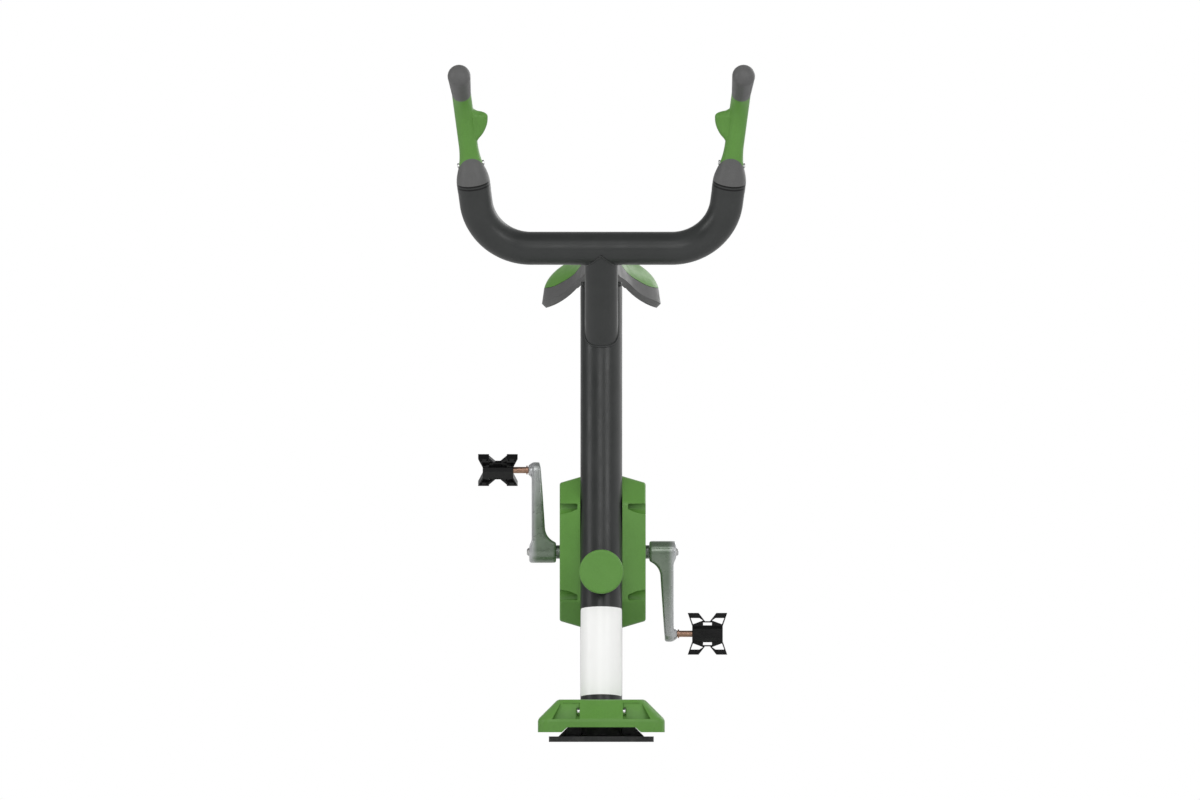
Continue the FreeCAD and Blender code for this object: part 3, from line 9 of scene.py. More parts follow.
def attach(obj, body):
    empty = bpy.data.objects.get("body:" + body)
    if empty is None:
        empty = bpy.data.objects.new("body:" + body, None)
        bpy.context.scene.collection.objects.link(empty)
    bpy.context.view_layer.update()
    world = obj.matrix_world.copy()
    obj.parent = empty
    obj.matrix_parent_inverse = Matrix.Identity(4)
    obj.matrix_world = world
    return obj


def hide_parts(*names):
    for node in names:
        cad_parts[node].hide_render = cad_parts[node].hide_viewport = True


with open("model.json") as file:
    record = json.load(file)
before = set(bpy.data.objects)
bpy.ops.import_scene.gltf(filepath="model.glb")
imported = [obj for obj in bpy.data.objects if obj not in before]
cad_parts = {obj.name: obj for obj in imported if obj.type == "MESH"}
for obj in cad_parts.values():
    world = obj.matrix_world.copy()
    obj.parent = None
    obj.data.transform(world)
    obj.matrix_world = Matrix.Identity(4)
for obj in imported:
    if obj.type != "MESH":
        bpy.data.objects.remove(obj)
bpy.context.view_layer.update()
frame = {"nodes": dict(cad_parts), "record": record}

# Lengths are in metres, angles in radians and colours in linear light.

# The photograph's view, level and flat, 1.82 mm to a pixel of a picture 1200 wide
VIEW_WIDTH = 2.184
VIEW_CENTRE = Vector((-0.0024, 0.0, 0.6223))
VIEW_DISTANCE = 5.0
VIEW_REACH = 50.0

# The room: how bright its parts are, and which way the brightest of the backdrop lies
BACKDROP_GLOW = 1.0
AMBIENT_GLOW = 0.8
ROOM_GLOW = 0.1
BACKDROP_WAY = (0.55, 0.62, -0.56)
BACKDROP_FADE = (-0.35, 0.8)  # along that way, from the dimmest to the brightest
FLOOR_RADIUS = 9.0
FLOOR_SIDES = 128

# The lamps: azimuth in degrees, distance, height, width, length, and how bright the face is
LAMPS = {
    "left_softbox": (-72, 3.2, 1.6, 1.1, 1.8, 2.6),
    "front_softbox": (-6, 4.6, 2.1, 1.6, 1.8, 2.9),
    "right_softbox": (35, 3.4, 1.7, 1.0, 1.8, 3.4),
    "rim_softbox": (145, 3.0, 1.8, 1.4, 1.8, 1.9),
    "upper_softbox": (0, 2.9, 3.5, 2.8, 1.0, 1.4),
}
LAMP_AIM = Vector((0, 0.05, 0.65))

# The frame's tubes
POST_LEAN = math.radians(8.5)
POST_FOOT = Vector((0.0, -0.018, 0.0))
POST_RADIUS = 0.03805
PLATE_TOP = 0.010
STEM_LEAN = math.radians(28.0)
STEM_FOOT_HEIGHT = 0.713
STEM_LENGTH = 0.210
BAR_RADIUS = 0.03015
CARRIER_HEIGHT = 0.3098
BAR_TILT = math.radians(20.1)
BAR_STRAIGHT = 0.2562
BAR_BEND_RADIUS = 0.1006
BAR_BEND_ANGLE = math.radians(82.8)
BAR_END_LENGTH = 0.0245
RING_WIDTH = 0.0054

# The grips' seams, along a grip's axis from the top of its seam ring
SEAM_SKIN = 0.0003
SEAM_DEPTH = 0.0012
# the black spacer's strips beside the band are painted shade for grooves
GROOVE_SHADE_SKIN = 0.0001
GROOVE_SHADE_FOOT = 0.0042
GROOVE_SHADE_HEAD = 0.0130
BAND_FOOT = 0.0073
BAND_HEAD = 0.0099
COLLAR_EDGE = 0.0378  # height of the collar's slanted upper edge at the sides
COLLAR_SLOPE = 1.32
SEAM_STEPS = 96
# the flare's radius by height
FLARE = [
    (0.0130, 0.02998), (0.0150, 0.02980), (0.0175, 0.02947), (0.0200, 0.02904), (0.0227, 0.02849), (0.0260, 0.02768),
    (0.0300, 0.02657), (0.0340, 0.02535), (0.0380, 0.02412), (0.0420, 0.02292), (0.0454, 0.02198), (0.0500, 0.02089),
    (0.0550, 0.01991), (0.0600, 0.01912), (0.0650, 0.01850),
]

# The saddle's plate, in its own frame
SADDLE_PLACE = Vector((0.0, 0.1065, 0.83275))
SADDLE_PLATE = (0.075, 0.154, 0.006)
SADDLE_PLATE_MIDDLE = Vector((0.0, 0.041, -0.003))
SADDLE_PLATE_CORNER = 0.008
SADDLE_PLATE_EDGE = 0.0008
SADDLE_EDGE_SEGMENTS = 3

# The cranks' castings, and where their axle is
AXLE_MIDDLE = 0.0025
AXLE_DEPTH = 0.13168
AXLE_HEIGHT = 0.3458
CASTING_MESH = 0.0011
CASTING_SOFTNESS = 0.5
CASTING_ROUNDS = 60
# painted highlight: the castings' colour is made brighter away from the axle and on their outer side
PAINTED_SHEEN_ALONG = (0.05, 0.15)  # above and below the axle, from dull to bright
PAINTED_SHEEN_OUTWARD = (0.118, 0.131)  # to either side of the axle's middle

# The tapered mouths of the housing's bolt pockets, from the middle of the axle
MOUTH_START = 0.046
MOUTH_LENGTH = 0.044
MOUTH_RADII = (0.0094, 0.0154)
MOUTH_SIDES = 72
MOUTH_DEPTH = 0.088
MOUTH_HEIGHT = 0.082
MOUTH_ROOF = 0.088

# The panels in the base cover's recesses. A pair holds the values at foot and head.
PANEL_FOOT = 0.0416
PANEL_HEAD = 0.0709
PANEL_STEP = 0.0622  # top of the slot for the bolts' heads
PANEL_OUTLINE = [  # distance from the middle, and height
    (0.0452, PANEL_FOOT), (0.0893, PANEL_FOOT), (0.0736, PANEL_HEAD),
    (0.0396, PANEL_HEAD), (0.0396, PANEL_STEP), (0.0452, PANEL_STEP),
]
PANEL_REACH = (0.0966, 0.0845)  # from the middle to the panel's face
PANEL_THICKNESS = (0.0020, 0.0165)
PANEL_EDGE = 0.0006
PANEL_EDGE_SEGMENTS = 2

# The bare plate on the post's front
LABEL_FOOT = 0.0822  # along the post's axis
LABEL_HEAD = 0.2437
LABEL_HALF_ANGLE = math.radians(77.0)
LABEL_CORNER = 0.006
LABEL_SLICES = 40
LABEL_THICKNESS = 0.0004
LABEL_GAP = 0.0001

# Weld beads
BEAD_RADIUS = 0.0022
BEAD_SIDES = 10
BEAD_STEPS = 144
RIPPLE_LENGTH = 0.0032
RIPPLE_DEPTH = 0.1

# Meshes
MERGE_DISTANCE = 1e-6
SHARP_ANGLE = math.radians(50.0)
HOUSING_SHARP_ANGLE = SHARP_ANGLE / 2
FACE_WEIGHT = 100
CORNER_SEGMENTS = 8
ROUND_PROFILE = 0.5

# Finishes
NOISE_WIDE = (0.3, 0.7)  # where most of a noise's values lie
NOISE_NARROW = (0.35, 0.65)
DUST_HEIGHT = 0.14
DUST_COLOUR = (0.11, 0.105, 0.095)
SPECK_LIFT = 1.18
TURNED_STRETCH = (1.0, 0.02, 0.02)


class Finish:
    """A surface finish, built up on the piece's own coordinates in metres."""

    def __init__(self, name, metallic=0.0, specular=0.5):
        self.material = bpy.data.materials.new(name)
        self.material.use_nodes = True
        self.tree = self.material.node_tree
        self.shader = self.tree.nodes["Principled BSDF"]
        self.shader.inputs["Metallic"].default_value = metallic
        self.shader.inputs["Specular IOR Level"].default_value = specular
        self.place = self.tree.nodes.new("ShaderNodeTexCoord").outputs["Object"]
        self.relief = None

    def link(self, source, target):
        self.tree.links.new(source, target)

    def grain(self, size, detail=3.0, roughness=0.55, stretch=None):
        """Cloudy noise whose blotches are about that size across."""
        place = self.place
        if stretch:
            mapping = self.tree.nodes.new("ShaderNodeMapping")
            mapping.inputs["Scale"].default_value = stretch
            self.link(place, mapping.inputs["Vector"])
            place = mapping.outputs["Vector"]
        noise = self.tree.nodes.new("ShaderNodeTexNoise")
        noise.inputs["Scale"].default_value = 1.0 / size
        noise.inputs["Detail"].default_value = detail
        noise.inputs["Roughness"].default_value = roughness
        self.link(place, noise.inputs["Vector"])
        return noise.outputs["Fac"]

    def cells(self, size):
        """Rounded pebbles of about that size, as a moulded grain."""
        voronoi = self.tree.nodes.new("ShaderNodeTexVoronoi")
        voronoi.feature = "SMOOTH_F1"
        voronoi.inputs["Scale"].default_value = 1.0 / size
        self.link(self.place, voronoi.inputs["Vector"])
        return voronoi.outputs["Distance"]

    def along(self, axis):
        """The piece's coordinate along one axis."""
        parts = self.tree.nodes.new("ShaderNodeSeparateXYZ")
        self.link(self.place, parts.inputs["Vector"])
        return parts.outputs[axis]

    def apart(self, axis, middle):
        """How far the piece's coordinate along one axis is from a middle, to either side."""
        value = self.along(axis)
        for operation, other in (("SUBTRACT", middle), ("ABSOLUTE", None)):
            step = self.tree.nodes.new("ShaderNodeMath")
            step.operation = operation
            if other is not None:
                step.inputs[1].default_value = other
            self.link(value, step.inputs[0])
            value = step.outputs["Value"]
        return value

    def ranged(self, value, low, high, to_low=0.0, to_high=1.0):
        """The value's span from low to high, eased into another span."""
        span = self.tree.nodes.new("ShaderNodeMapRange")
        span.interpolation_type = "SMOOTHSTEP"
        span.inputs["From Min"].default_value = low
        span.inputs["From Max"].default_value = high
        span.inputs["To Min"].default_value = to_low
        span.inputs["To Max"].default_value = to_high
        self.link(value, span.inputs["Value"])
        return span.outputs["Result"]

    def times(self, one, other):
        product = self.tree.nodes.new("ShaderNodeMath")
        product.operation = "MULTIPLY"
        self.link(one, product.inputs[0])
        self.link(other, product.inputs[1])
        return product.outputs["Value"]

    def mixed(self, amount, low, high):
        """A colour between two, each of them fixed or a socket."""
        mix = self.tree.nodes.new("ShaderNodeMix")
        mix.data_type = "RGBA"
        self.link(amount, mix.inputs["Factor"])
        # the node's sockets share names, so the ones for colours go by number
        for colour, socket in ((low, mix.inputs[6]), (high, mix.inputs[7])):
            if isinstance(colour, tuple):
                socket.default_value = (*colour, 1.0)
            else:
                self.link(colour, socket)
        return mix.outputs[2]

    def colour(self, socket):
        self.link(socket, self.shader.inputs["Base Color"])

    def roughness(self, value, smooth, rough):
        self.link(self.ranged(value, *NOISE_WIDE, smooth, rough), self.shader.inputs["Roughness"])

    def raised(self, height, depth, strength=1.0):
        """Adds a layer of relief, that many metres deep, over the layers before it."""
        bump = self.tree.nodes.new("ShaderNodeBump")
        bump.inputs["Distance"].default_value = depth
        bump.inputs["Strength"].default_value = strength
        self.link(height, bump.inputs["Height"])
        if self.relief:
            self.link(self.relief, bump.inputs["Normal"])
        self.relief = bump.outputs["Normal"]
        self.link(self.relief, self.shader.inputs["Normal"])


def powder_coat():
    """Satin charcoal powder coat: fine orange peel, slow shifts of tone, and dust near the ground."""
    paint = Finish("charcoal_powder_coat", specular=0.45)
    slow = paint.ranged(paint.grain(0.09), *NOISE_NARROW)
    tone = paint.mixed(slow, (0.0255, 0.0275, 0.027), (0.0305, 0.0325, 0.032))
    low_down = paint.ranged(paint.along("Z"), 0.0, DUST_HEIGHT, to_low=1.0, to_high=0.0)
    patches = paint.ranged(paint.grain(0.012, detail=5.0, roughness=0.65), 0.4, 0.75, to_high=0.3)
    paint.colour(paint.mixed(paint.times(low_down, patches), tone, DUST_COLOUR))
    paint.roughness(paint.grain(0.03, detail=4.0), 0.3, 0.4)
    paint.raised(paint.grain(0.0016, detail=2.0), depth=0.00012, strength=0.35)
    paint.raised(paint.grain(0.0004, detail=1.0), depth=0.00003, strength=0.3)
    return paint.material


def moulded_plastic(name, low, high, smooth, rough, pebble, specular=0.4):
    """Moulded plastic: a fine spark-eroded grain, slow flow marks in its tone, and paler specks."""
    plastic = Finish(name, specular=specular)
    tone = plastic.mixed(plastic.ranged(plastic.grain(0.06), *NOISE_NARROW), low, high)
    specks = plastic.ranged(plastic.grain(0.0025), *NOISE_WIDE, to_high=0.35)
    plastic.colour(plastic.mixed(specks, tone, tuple(part * SPECK_LIFT for part in high)))
    plastic.roughness(plastic.grain(0.02, detail=4.0), smooth, rough)
    plastic.raised(plastic.cells(pebble), depth=pebble * 0.12, strength=0.35)
    plastic.raised(plastic.grain(pebble * 0.4, detail=1.0), depth=pebble * 0.05, strength=0.3)
    return plastic.material


def soft_rubber():
    rubber = Finish("moulded_rubber", specular=0.3)
    rubber.colour(rubber.mixed(rubber.grain(0.01), (0.010, 0.010, 0.010), (0.020, 0.020, 0.021)))
    rubber.roughness(rubber.grain(0.004), 0.68, 0.85)
    rubber.raised(rubber.grain(0.0008, detail=2.0), depth=0.00008, strength=0.4)
    return rubber.material


def plated_steel(name, low, high, smooth, rough, marks):
    """Plated steel with turning marks round its axis, which runs across the machine."""
    steel = Finish(name, metallic=1.0)
    steel.colour(steel.mixed(steel.ranged(steel.grain(0.008, detail=4.0), *NOISE_WIDE), low, high))
    steel.roughness(steel.grain(0.004), smooth, rough)
    lines = steel.grain(marks, detail=2.0, roughness=0.5, stretch=TURNED_STRETCH)
    steel.raised(lines, depth=marks * 0.12, strength=0.4)
    return steel.material


def cast_alloy():
    """Cast aluminium under clear coat: faint mottling, soft pits, and painted highlights that make it brighter towards
    the pedal and on its outer side.
    """
    alloy = Finish("cast_alloy_painted_sheen", metallic=0.55)
    alloy.shader.inputs["Coat Weight"].default_value = 1.0
    alloy.shader.inputs["Coat Roughness"].default_value = 0.1
    patches = alloy.ranged(alloy.grain(0.03, roughness=0.5), *NOISE_NARROW)
    # the green tint of these tones is a painted reflection of the green housing
    tone = alloy.mixed(patches, (0.160, 0.212, 0.152), (0.196, 0.252, 0.186))
    # painted highlights: brighter away from the axle towards the pedal, and on the outer side
    tone = alloy.mixed(alloy.ranged(alloy.apart("Z", AXLE_HEIGHT), *PAINTED_SHEEN_ALONG), tone, (0.36, 0.38, 0.37))
    tone = alloy.mixed(alloy.ranged(alloy.apart("X", AXLE_MIDDLE), *PAINTED_SHEEN_OUTWARD), tone, (0.52, 0.53, 0.54))
    # the specks' green tint is a painted reflection of the green housing too
    specks = alloy.ranged(alloy.grain(0.0012, detail=2.0), 0.42, 0.72, to_high=0.2)
    alloy.colour(alloy.mixed(specks, tone, (0.24, 0.27, 0.24)))
    alloy.roughness(alloy.grain(0.02), 0.24, 0.34)
    alloy.raised(alloy.grain(0.02, detail=2.0), depth=0.0004, strength=0.3)
    alloy.raised(alloy.grain(0.0012, detail=2.0), depth=0.00003, strength=0.3)
    return alloy.material


def label_vinyl():
    """White vinyl under a clear film: soft ripples, faint handling marks."""
    vinyl = Finish("white_label_vinyl")
    marks = vinyl.ranged(vinyl.grain(0.03, roughness=0.5), 0.4, 0.8, to_high=0.25)
    vinyl.colour(vinyl.mixed(marks, (0.92, 0.92, 0.91), (0.885, 0.88, 0.87)))
    vinyl.roughness(vinyl.grain(0.02, detail=4.0), 0.3, 0.36)
    vinyl.raised(vinyl.grain(0.03, detail=1.0), depth=0.0003, strength=0.05)
    return vinyl.material


def pale_floor():
    floor = Finish("pale_studio_floor", specular=0.2)
    floor.colour(floor.mixed(floor.grain(0.02, detail=4.0), (0.63, 0.63, 0.63), (0.66, 0.66, 0.66)))
    floor.roughness(floor.grain(0.02), 0.7, 0.8)
    return floor.material


FINISHES = {
    "charcoal_paint": powder_coat(),
    "green_plastic": moulded_plastic(
        "leaf_green_plastic", (0.093, 0.242, 0.039), (0.102, 0.259, 0.045), smooth=0.36, rough=0.46, pebble=0.0011
    ),
    "grey_plastic": moulded_plastic(
        "mid_grey_plastic", (0.094, 0.094, 0.094), (0.106, 0.106, 0.105), smooth=0.42, rough=0.52, pebble=0.0013
    ),
    "black_plastic": moulded_plastic(
        "black_nylon", (0.0035, 0.0035, 0.0037), (0.006, 0.006, 0.0063), smooth=0.28, rough=0.36, pebble=0.0012,
        specular=0.3,
    ),
    "black_rubber": soft_rubber(),
    "zinc_steel": plated_steel(
        "zinc_plated_steel", (0.50, 0.51, 0.51), (0.62, 0.62, 0.60), smooth=0.26, rough=0.4, marks=0.0007
    ),
    # its green tint is a painted reflection of the green housing
    "dark_steel": plated_steel(
        "phosphated_steel", (0.20, 0.225, 0.20), (0.26, 0.285, 0.26), smooth=0.3, rough=0.42, marks=0.0007
    ),
    "bright_screw": plated_steel(
        "bright_plated_screw", (0.70, 0.70, 0.70), (0.80, 0.80, 0.80), smooth=0.12, rough=0.22, marks=0.0005
    ),
    "brown_steel": plated_steel(
        "brown_passivated_steel", (0.38, 0.225, 0.160), (0.48, 0.30, 0.215), smooth=0.28, rough=0.4, marks=0.0006
    ),
    "cast_alloy": cast_alloy(),
    "bush_bronze": plated_steel(
        "sintered_bronze", (0.40, 0.27, 0.12), (0.52, 0.37, 0.18), smooth=0.34, rough=0.5, marks=0.0008
    ),
}

for row in frame["record"]["subparts"]:
    skin = frame["nodes"][row["node"]].data.materials
    skin.clear()
    skin.append(FINISHES[row["material_slot"]])


def linked(name, data):
    """A new object in the scene."""
    thing = bpy.data.objects.new(name, data)
    bpy.context.scene.collection.objects.link(thing)
    return thing


def modelled(name, mesh):
    """Turns a modelled mesh into an object."""
    data = bpy.data.meshes.new(name)
    mesh.to_mesh(data)
    mesh.free()
    return linked(name, data)


def finished(name, mesh, slot=None, body="frame", finish=None):
    """Turns a modelled mesh into a piece that rides on its body, in its slot's finish or in one of its own."""
    bmesh.ops.remove_doubles(mesh, verts=mesh.verts, dist=MERGE_DISTANCE)
    bmesh.ops.recalc_face_normals(mesh, faces=mesh.faces)
    for face in mesh.faces:
        face.smooth = True
    piece = modelled(name, mesh)
    piece.data.set_sharp_from_angle(angle=SHARP_ANGLE)
    piece.data.materials.append(finish or FINISHES[slot])
    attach(piece, body)
    return piece


def copied(node):
    """The mesh of one of the part's own pieces, to work on."""
    mesh = bmesh.new()
    mesh.from_mesh(frame["nodes"][node].data)
    return mesh


def everything(mesh):
    return mesh.verts[:] + mesh.edges[:] + mesh.faces[:]


def rounded(mesh, geom, size, segments, affect="EDGES"):
    bmesh.ops.bevel(
        mesh, geom=geom, affect=affect, offset=size, offset_type="OFFSET", segments=segments, profile=ROUND_PROFILE,
        material=-1,
    )


def turned(mesh, steps):
    """Sweeps an outline all the way round Z."""
    bmesh.ops.spin(
        mesh, geom=everything(mesh), axis=(0, 0, 1), cent=(0, 0, 0), angle=math.tau, steps=steps, use_merge=True
    )


def cut_off(mesh, point, way):
    """Takes off what lies beyond a plane, and closes the cut."""
    bmesh.ops.bisect_plane(mesh, geom=everything(mesh), plane_co=point, plane_no=way, clear_outer=True)
    bmesh.ops.holes_fill(mesh, edges=mesh.edges)


def leaning(place):
    """A frame at a place that leans as the post does: Z up the post, -Y out of its front."""
    return Matrix.Translation(place) @ Matrix.Rotation(-POST_LEAN, 4, "X")


def on_post(height):
    """The point of the post's axis at a height."""
    return Vector((0, POST_FOOT.y + height * math.tan(POST_LEAN), height))


def stem_top():
    return on_post(STEM_FOOT_HEIGHT) + Matrix.Rotation(STEM_LEAN, 3, "X") @ Vector((0, 0, STEM_LENGTH))


def label_plate():
    """The bare white plate that wraps the front of the post."""
    radius = POST_RADIUS + LABEL_GAP
    half = LABEL_HALF_ANGLE * radius
    mesh = bmesh.new()
    corners = [(-half, LABEL_FOOT), (half, LABEL_FOOT), (half, LABEL_HEAD), (-half, LABEL_HEAD)]
    mesh.faces.new([mesh.verts.new((x, 0, z)) for x, z in corners])
    rounded(mesh, mesh.verts[:], LABEL_CORNER, CORNER_SEGMENTS, affect="VERTICES")
    for step in range(1, LABEL_SLICES):
        across = half * (2 * step / LABEL_SLICES - 1)
        bmesh.ops.bisect_plane(mesh, geom=everything(mesh), plane_co=(across, 0, 0), plane_no=(1, 0, 0))
    for vert in mesh.verts:
        angle = vert.co.x / radius
        vert.co.x = radius * math.sin(angle)
        vert.co.y = -radius * math.cos(angle)
    bmesh.ops.recalc_face_normals(mesh, faces=mesh.faces)
    bmesh.ops.solidify(mesh, geom=mesh.faces[:], thickness=LABEL_THICKNESS)
    bmesh.ops.transform(mesh, matrix=leaning(POST_FOOT), verts=mesh.verts)
    finished("label_plate", mesh, finish=label_vinyl())


def weld_bead(name, radius, rise, place):
    """A rippled bead round a tube. Its height along the tube follows rise(angle), with angle 0 on the -Y side."""
    mesh = bmesh.new()
    section = Matrix.Translation((0, -radius, 0)) @ Matrix.Rotation(math.pi / 2, 4, "Y")
    bmesh.ops.create_circle(mesh, segments=BEAD_SIDES, radius=BEAD_RADIUS, matrix=section)
    turned(mesh, BEAD_STEPS)
    ripples = round(math.tau * radius / RIPPLE_LENGTH)
    for vert in mesh.verts:
        angle = math.atan2(vert.co.x, -vert.co.y)
        middle = Vector((radius * math.sin(angle), -radius * math.cos(angle), 0))
        swell = 1 + RIPPLE_DEPTH * math.cos(ripples * angle)
        vert.co = middle + (vert.co - middle) * swell + Vector((0, 0, rise(angle)))
    bmesh.ops.transform(mesh, matrix=place, verts=mesh.verts)
    finished(name, mesh, "charcoal_paint")


def branch_rise(branch_radius, slant):
    """How far along a branch tube its wall meets the post's wall, by the angle round the branch."""

    def rise(angle):
        side = branch_radius * math.sin(angle)
        across = math.sqrt(max(0.0, POST_RADIUS**2 - side**2))
        return (across - branch_radius * math.cos(angle) * math.cos(slant)) / math.sin(slant)

    return rise


def weld_beads():
    """Beads where the tubes of the frame are welded to the base plate and to each other."""

    def on_plate(angle):
        return (PLATE_TOP - POST_RADIUS * math.cos(angle) * math.sin(POST_LEAN)) / math.cos(POST_LEAN)

    def under_bar(angle):
        return -BAR_RADIUS * abs(math.sin(angle))

    stem_turn = Matrix.Rotation(STEM_LEAN, 4, "X")
    weld_bead("post_foot_weld", POST_RADIUS, on_plate, leaning(POST_FOOT))
    weld_bead(
        "stem_foot_weld", BAR_RADIUS, branch_rise(BAR_RADIUS, STEM_LEAN + POST_LEAN),
        Matrix.Translation(on_post(STEM_FOOT_HEIGHT)) @ stem_turn,
    )
    weld_bead("stem_bar_weld", BAR_RADIUS, under_bar, Matrix.Translation(stem_top()) @ stem_turn)
    weld_bead(
        "front_tube_weld", POST_RADIUS, branch_rise(POST_RADIUS, math.pi / 2 + POST_LEAN),
        Matrix.Translation(on_post(CARRIER_HEIGHT)) @ Matrix.Rotation(math.pi / 2, 4, "X"),
    )


def grip_place():
    """Where the right grip's frame sits: Z up the grip from the top of its seam ring, -Y out of its front."""
    lean = math.pi / 2 - BAR_BEND_ANGLE
    along = BAR_STRAIGHT / 2 + BAR_BEND_RADIUS * math.cos(lean) + BAR_END_LENGTH * math.sin(lean)
    up = BAR_BEND_RADIUS * (1 - math.sin(lean)) + BAR_END_LENGTH * math.cos(lean)
    twist = -math.atan(math.sin(lean) * math.tan(BAR_TILT))
    bar = Matrix.Translation(stem_top()) @ Matrix.Rotation(BAR_TILT, 4, "X") @ Matrix.Translation((along, 0, up))
    return bar @ Matrix.Rotation(lean, 4, "Y") @ Matrix.Rotation(twist, 4, "Z") @ Matrix.Translation((0, 0, RING_WIDTH))


def spun(outline):
    """A closed outline of heights and radii, turned round Z."""
    mesh = bmesh.new()
    verts = [mesh.verts.new((radius, 0, height)) for height, radius in outline]
    for vert, following in zip(verts, verts[1:] + verts[:1]):
        mesh.edges.new((vert, following))
    turned(mesh, SEAM_STEPS)
    return mesh


def hoop(foot, head, proud):
    """A thin hoop round the bar's end."""
    outer = BAR_RADIUS + proud
    inner = BAR_RADIUS - SEAM_DEPTH
    return spun([(foot, inner), (foot, outer), (head, outer), (head, inner)])


def collar():
    """Skin of the core's collar, cut off along its slanted upper edge."""
    outer = [(height, radius + SEAM_SKIN) for height, radius in FLARE]
    inner = [(height, radius - SEAM_DEPTH) for height, radius in reversed(FLARE)]
    mesh = spun(outer + inner)
    cut_off(mesh, (0, 0, COLLAR_EDGE), (0, COLLAR_SLOPE, 1))
    return mesh


def grip_seams():
    """The seam between bar and grip on each side: end of the bar, black spacer with a charcoal-painted band on it, and
    collar. The spacer's two black strips beside the band are painted shade for grooves.
    """
    for side, mirror in (("right", 1.0), ("left", -1.0)):
        place = Matrix.Diagonal((mirror, 1, 1, 1)) @ grip_place()

        def fitted(name, mesh, slot):
            bmesh.ops.transform(mesh, matrix=place, verts=mesh.verts)
            return finished(f"{side}_{name}", mesh, slot)

        fitted("bar_end", hoop(-RING_WIDTH, GROOVE_SHADE_FOOT, SEAM_SKIN), "charcoal_paint")
        # the black spacer shows as two dark strips, one each side of the band: painted shade of grooves
        groove_shade = fitted("seam_painted_groove_shade", hoop(GROOVE_SHADE_FOOT, GROOVE_SHADE_HEAD, GROOVE_SHADE_SKIN), "black_plastic")
        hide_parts(f"{side}_seam_ring")
        fitted("seam_band", hoop(BAND_FOOT, BAND_HEAD, SEAM_SKIN), "charcoal_paint")
        fitted("grip_collar", collar(), "grey_plastic")


def saddle_plate():
    """The plate under the saddle, with rounded corners and broken edges."""
    mesh = bmesh.new()
    bmesh.ops.create_cube(mesh, matrix=Matrix.Translation(SADDLE_PLATE_MIDDLE) @ Matrix.Diagonal((*SADDLE_PLATE, 1)))
    upright = [edge for edge in mesh.edges if abs(edge.verts[0].co.z - edge.verts[1].co.z) > SADDLE_PLATE[2] / 2]
    rounded(mesh, upright, SADDLE_PLATE_CORNER, CORNER_SEGMENTS)
    rims = [edge for edge in mesh.edges if edge.calc_face_angle(0) > SHARP_ANGLE]
    rounded(mesh, rims, SADDLE_PLATE_EDGE, SADDLE_EDGE_SEGMENTS)
    bmesh.ops.transform(mesh, matrix=leaning(SADDLE_PLACE), verts=mesh.verts)
    plate = finished("rounded_saddle_plate", mesh, "charcoal_paint")
    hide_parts("saddle_plate")


def crank_castings():
    """The cranks with the soft edges of a casting, over their own form."""
    for node in ("left_crank_arm", "right_crank_arm"):
        casting = finished(f"{node}_casting", copied(node), "cast_alloy", "crankset")
        even = casting.modifiers.new("even_mesh", "REMESH")
        even.mode = "VOXEL"
        even.voxel_size = CASTING_MESH
        even.use_smooth_shade = True
        soft = casting.modifiers.new("soft_edges", "SMOOTH")
        soft.factor = CASTING_SOFTNESS
        soft.iterations = CASTING_ROUNDS
        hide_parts(node)


def pocket_mouths(side):
    """Tapered cutters for the four pockets of one housing half, flat where a pocket has its roof."""
    mesh = bmesh.new()
    for end in (-1, 1):
        for rise in (-1, 1):
            middle = (
                AXLE_MIDDLE + side * (MOUTH_START + MOUTH_LENGTH / 2), AXLE_DEPTH + end * MOUTH_DEPTH,
                AXLE_HEIGHT + rise * MOUTH_HEIGHT,
            )
            bmesh.ops.create_cone(
                mesh, cap_ends=True, segments=MOUTH_SIDES, radius1=MOUTH_RADII[0], radius2=MOUTH_RADII[1],
                depth=MOUTH_LENGTH, matrix=Matrix.Translation(middle) @ Matrix.Rotation(side * math.pi / 2, 4, "Y"),
            )
    for rise in (-1, 1):
        cut_off(mesh, (0, 0, AXLE_HEIGHT + rise * MOUTH_ROOF), (0, 0, rise))
    bmesh.ops.recalc_face_normals(mesh, faces=mesh.faces)
    return modelled("pocket_mouths", mesh)


def tapered_housings():
    """The housing halves with the mouths of their bolt pockets widened outwards."""
    for node, side in (("housing_left", -1), ("housing_right", 1)):
        half = finished(f"{node}_tapered", copied(node), "green_plastic")
        cutter = pocket_mouths(side)
        cut = half.modifiers.new("mouths", "BOOLEAN")
        cut.operation = "DIFFERENCE"
        cut.solver = "EXACT"
        cut.object = cutter
        half.data = bpy.data.meshes.new_from_object(half.evaluated_get(bpy.context.evaluated_depsgraph_get()))
        half.modifiers.clear()
        bpy.data.objects.remove(cutter)
        half.data.set_sharp_from_angle(angle=HOUSING_SHARP_ANGLE)
        flat = half.modifiers.new("flat_faces", "WEIGHTED_NORMAL")
        flat.keep_sharp = True
        flat.weight = FACE_WEIGHT
        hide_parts(node)


def cover_panels():
    """Upright panels that close the upper part of the cover's recesses, clear of the bolts beside the centre block."""

    def by_height(span, height):
        return span[0] + (span[1] - span[0]) * (height - PANEL_FOOT) / (PANEL_HEAD - PANEL_FOOT)

    for end, front in (("front", -1), ("rear", 1)):
        for side, right in (("left", -1), ("right", 1)):
            mesh = bmesh.new()
            verts = [mesh.verts.new((right * x, front * by_height(PANEL_REACH, z), z)) for x, z in PANEL_OUTLINE]
            mesh.faces.new(verts)
            grown = bmesh.ops.extrude_face_region(mesh, geom=mesh.faces[:])["geom"]
            for vert in (item for item in grown if isinstance(item, bmesh.types.BMVert)):
                vert.co.y -= front * by_height(PANEL_THICKNESS, vert.co.z)
            bmesh.ops.recalc_face_normals(mesh, faces=mesh.faces)
            rounded(mesh, mesh.edges[:], PANEL_EDGE, PANEL_EDGE_SEGMENTS)
            finished(f"cover_panel_{end}_{side}", mesh, "green_plastic")


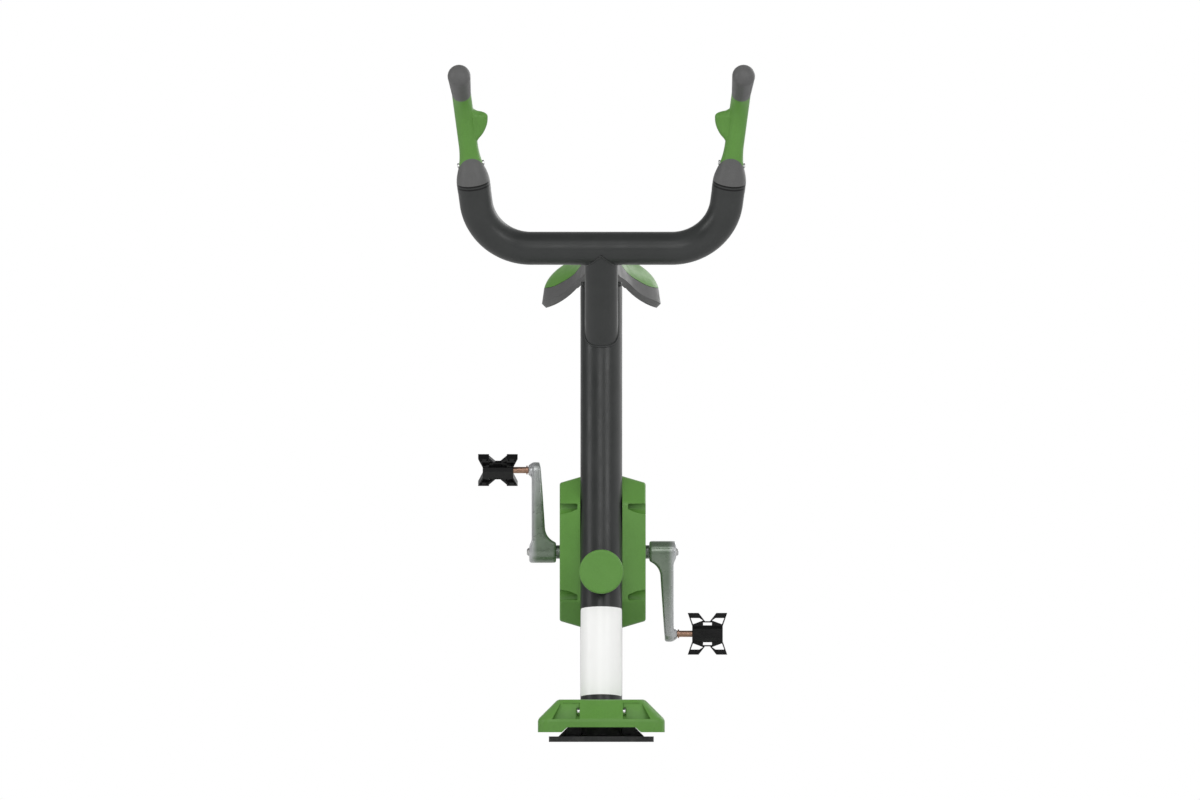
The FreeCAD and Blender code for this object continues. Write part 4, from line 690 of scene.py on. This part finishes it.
def studio_floor():
    mesh = bmesh.new()
    bmesh.ops.create_circle(mesh, cap_ends=True, segments=FLOOR_SIDES, radius=FLOOR_RADIUS)
    floor = modelled("studio_floor", mesh)
    floor.data.materials.append(pale_floor())


def softbox(name, azimuth, distance, height, width, length, glow):
    """A soft lamp round the machine: azimuth 0 is the camera's side, 90 the right. Its face is as bright as glow."""
    data = bpy.data.lights.new(name, "AREA")
    data.shape = "RECTANGLE"
    data.size = width
    data.size_y = length
    data.energy = glow * math.pi * width * length
    lamp = linked(name, data)
    turn = math.radians(azimuth)
    lamp.location = (distance * math.sin(turn), -distance * math.cos(turn), height)
    lamp.rotation_euler = (LAMP_AIM - lamp.location).to_track_quat("-Z", "Y").to_euler()


def white_room():
    """A room whose backdrop is white, dim on the camera's side and brightest behind on the right."""
    world = bpy.data.worlds.new("white_studio")
    bpy.context.scene.world = world
    world.use_nodes = True
    tree = world.node_tree
    tree.nodes.clear()
    rays = tree.nodes.new("ShaderNodeLightPath")

    def background(strength):
        shader = tree.nodes.new("ShaderNodeBackground")
        shader.inputs["Color"].default_value = (1, 1, 1, 1)
        if isinstance(strength, float):
            shader.inputs["Strength"].default_value = strength
        else:
            tree.links.new(strength, shader.inputs["Strength"])
        return shader.outputs["Background"]

    def seen_by(ray, shader, otherwise):
        mix = tree.nodes.new("ShaderNodeMixShader")
        tree.links.new(rays.outputs[ray], mix.inputs["Fac"])
        tree.links.new(otherwise, mix.inputs[1])
        tree.links.new(shader, mix.inputs[2])
        return mix.outputs["Shader"]

    towards = tree.nodes.new("ShaderNodeVectorMath")
    towards.operation = "DOT_PRODUCT"
    towards.inputs[1].default_value = BACKDROP_WAY
    tree.links.new(tree.nodes.new("ShaderNodeTexCoord").outputs["Generated"], towards.inputs[0])
    falloff = tree.nodes.new("ShaderNodeMapRange")
    falloff.interpolation_type = "SMOOTHSTEP"
    spans = zip(("From Min", "From Max", "To Min", "To Max"), (*BACKDROP_FADE, ROOM_GLOW, BACKDROP_GLOW))
    for socket, value in spans:
        falloff.inputs[socket].default_value = value
    tree.links.new(towards.outputs["Value"], falloff.inputs["Value"])
    backdrop = background(falloff.outputs["Result"])
    light = seen_by("Is Glossy Ray", backdrop, background(AMBIENT_GLOW))
    light = seen_by("Is Transmission Ray", backdrop, light)
    light = seen_by("Is Camera Ray", background(BACKDROP_GLOW), light)
    out = tree.nodes.new("ShaderNodeOutputWorld")
    tree.links.new(light, out.inputs["Surface"])


def camera():
    data = bpy.data.cameras.new("front_camera")
    data.type = "ORTHO"
    data.ortho_scale = VIEW_WIDTH
    data.clip_end = VIEW_REACH
    view = linked("front_camera", data)
    view.location = VIEW_CENTRE + Vector((0, -VIEW_DISTANCE, 0))
    view.rotation_euler = (math.pi / 2, 0, 0)
    bpy.context.scene.camera = view


label_plate()
weld_beads()
grip_seams()
saddle_plate()
crank_castings()
tapered_housings()
cover_panels()
studio_floor()
for lamp_name, lamp_setting in LAMPS.items():
    softbox(lamp_name, *lamp_setting)
white_room()
camera()
bpy.context.scene.view_settings.view_transform = "Standard"
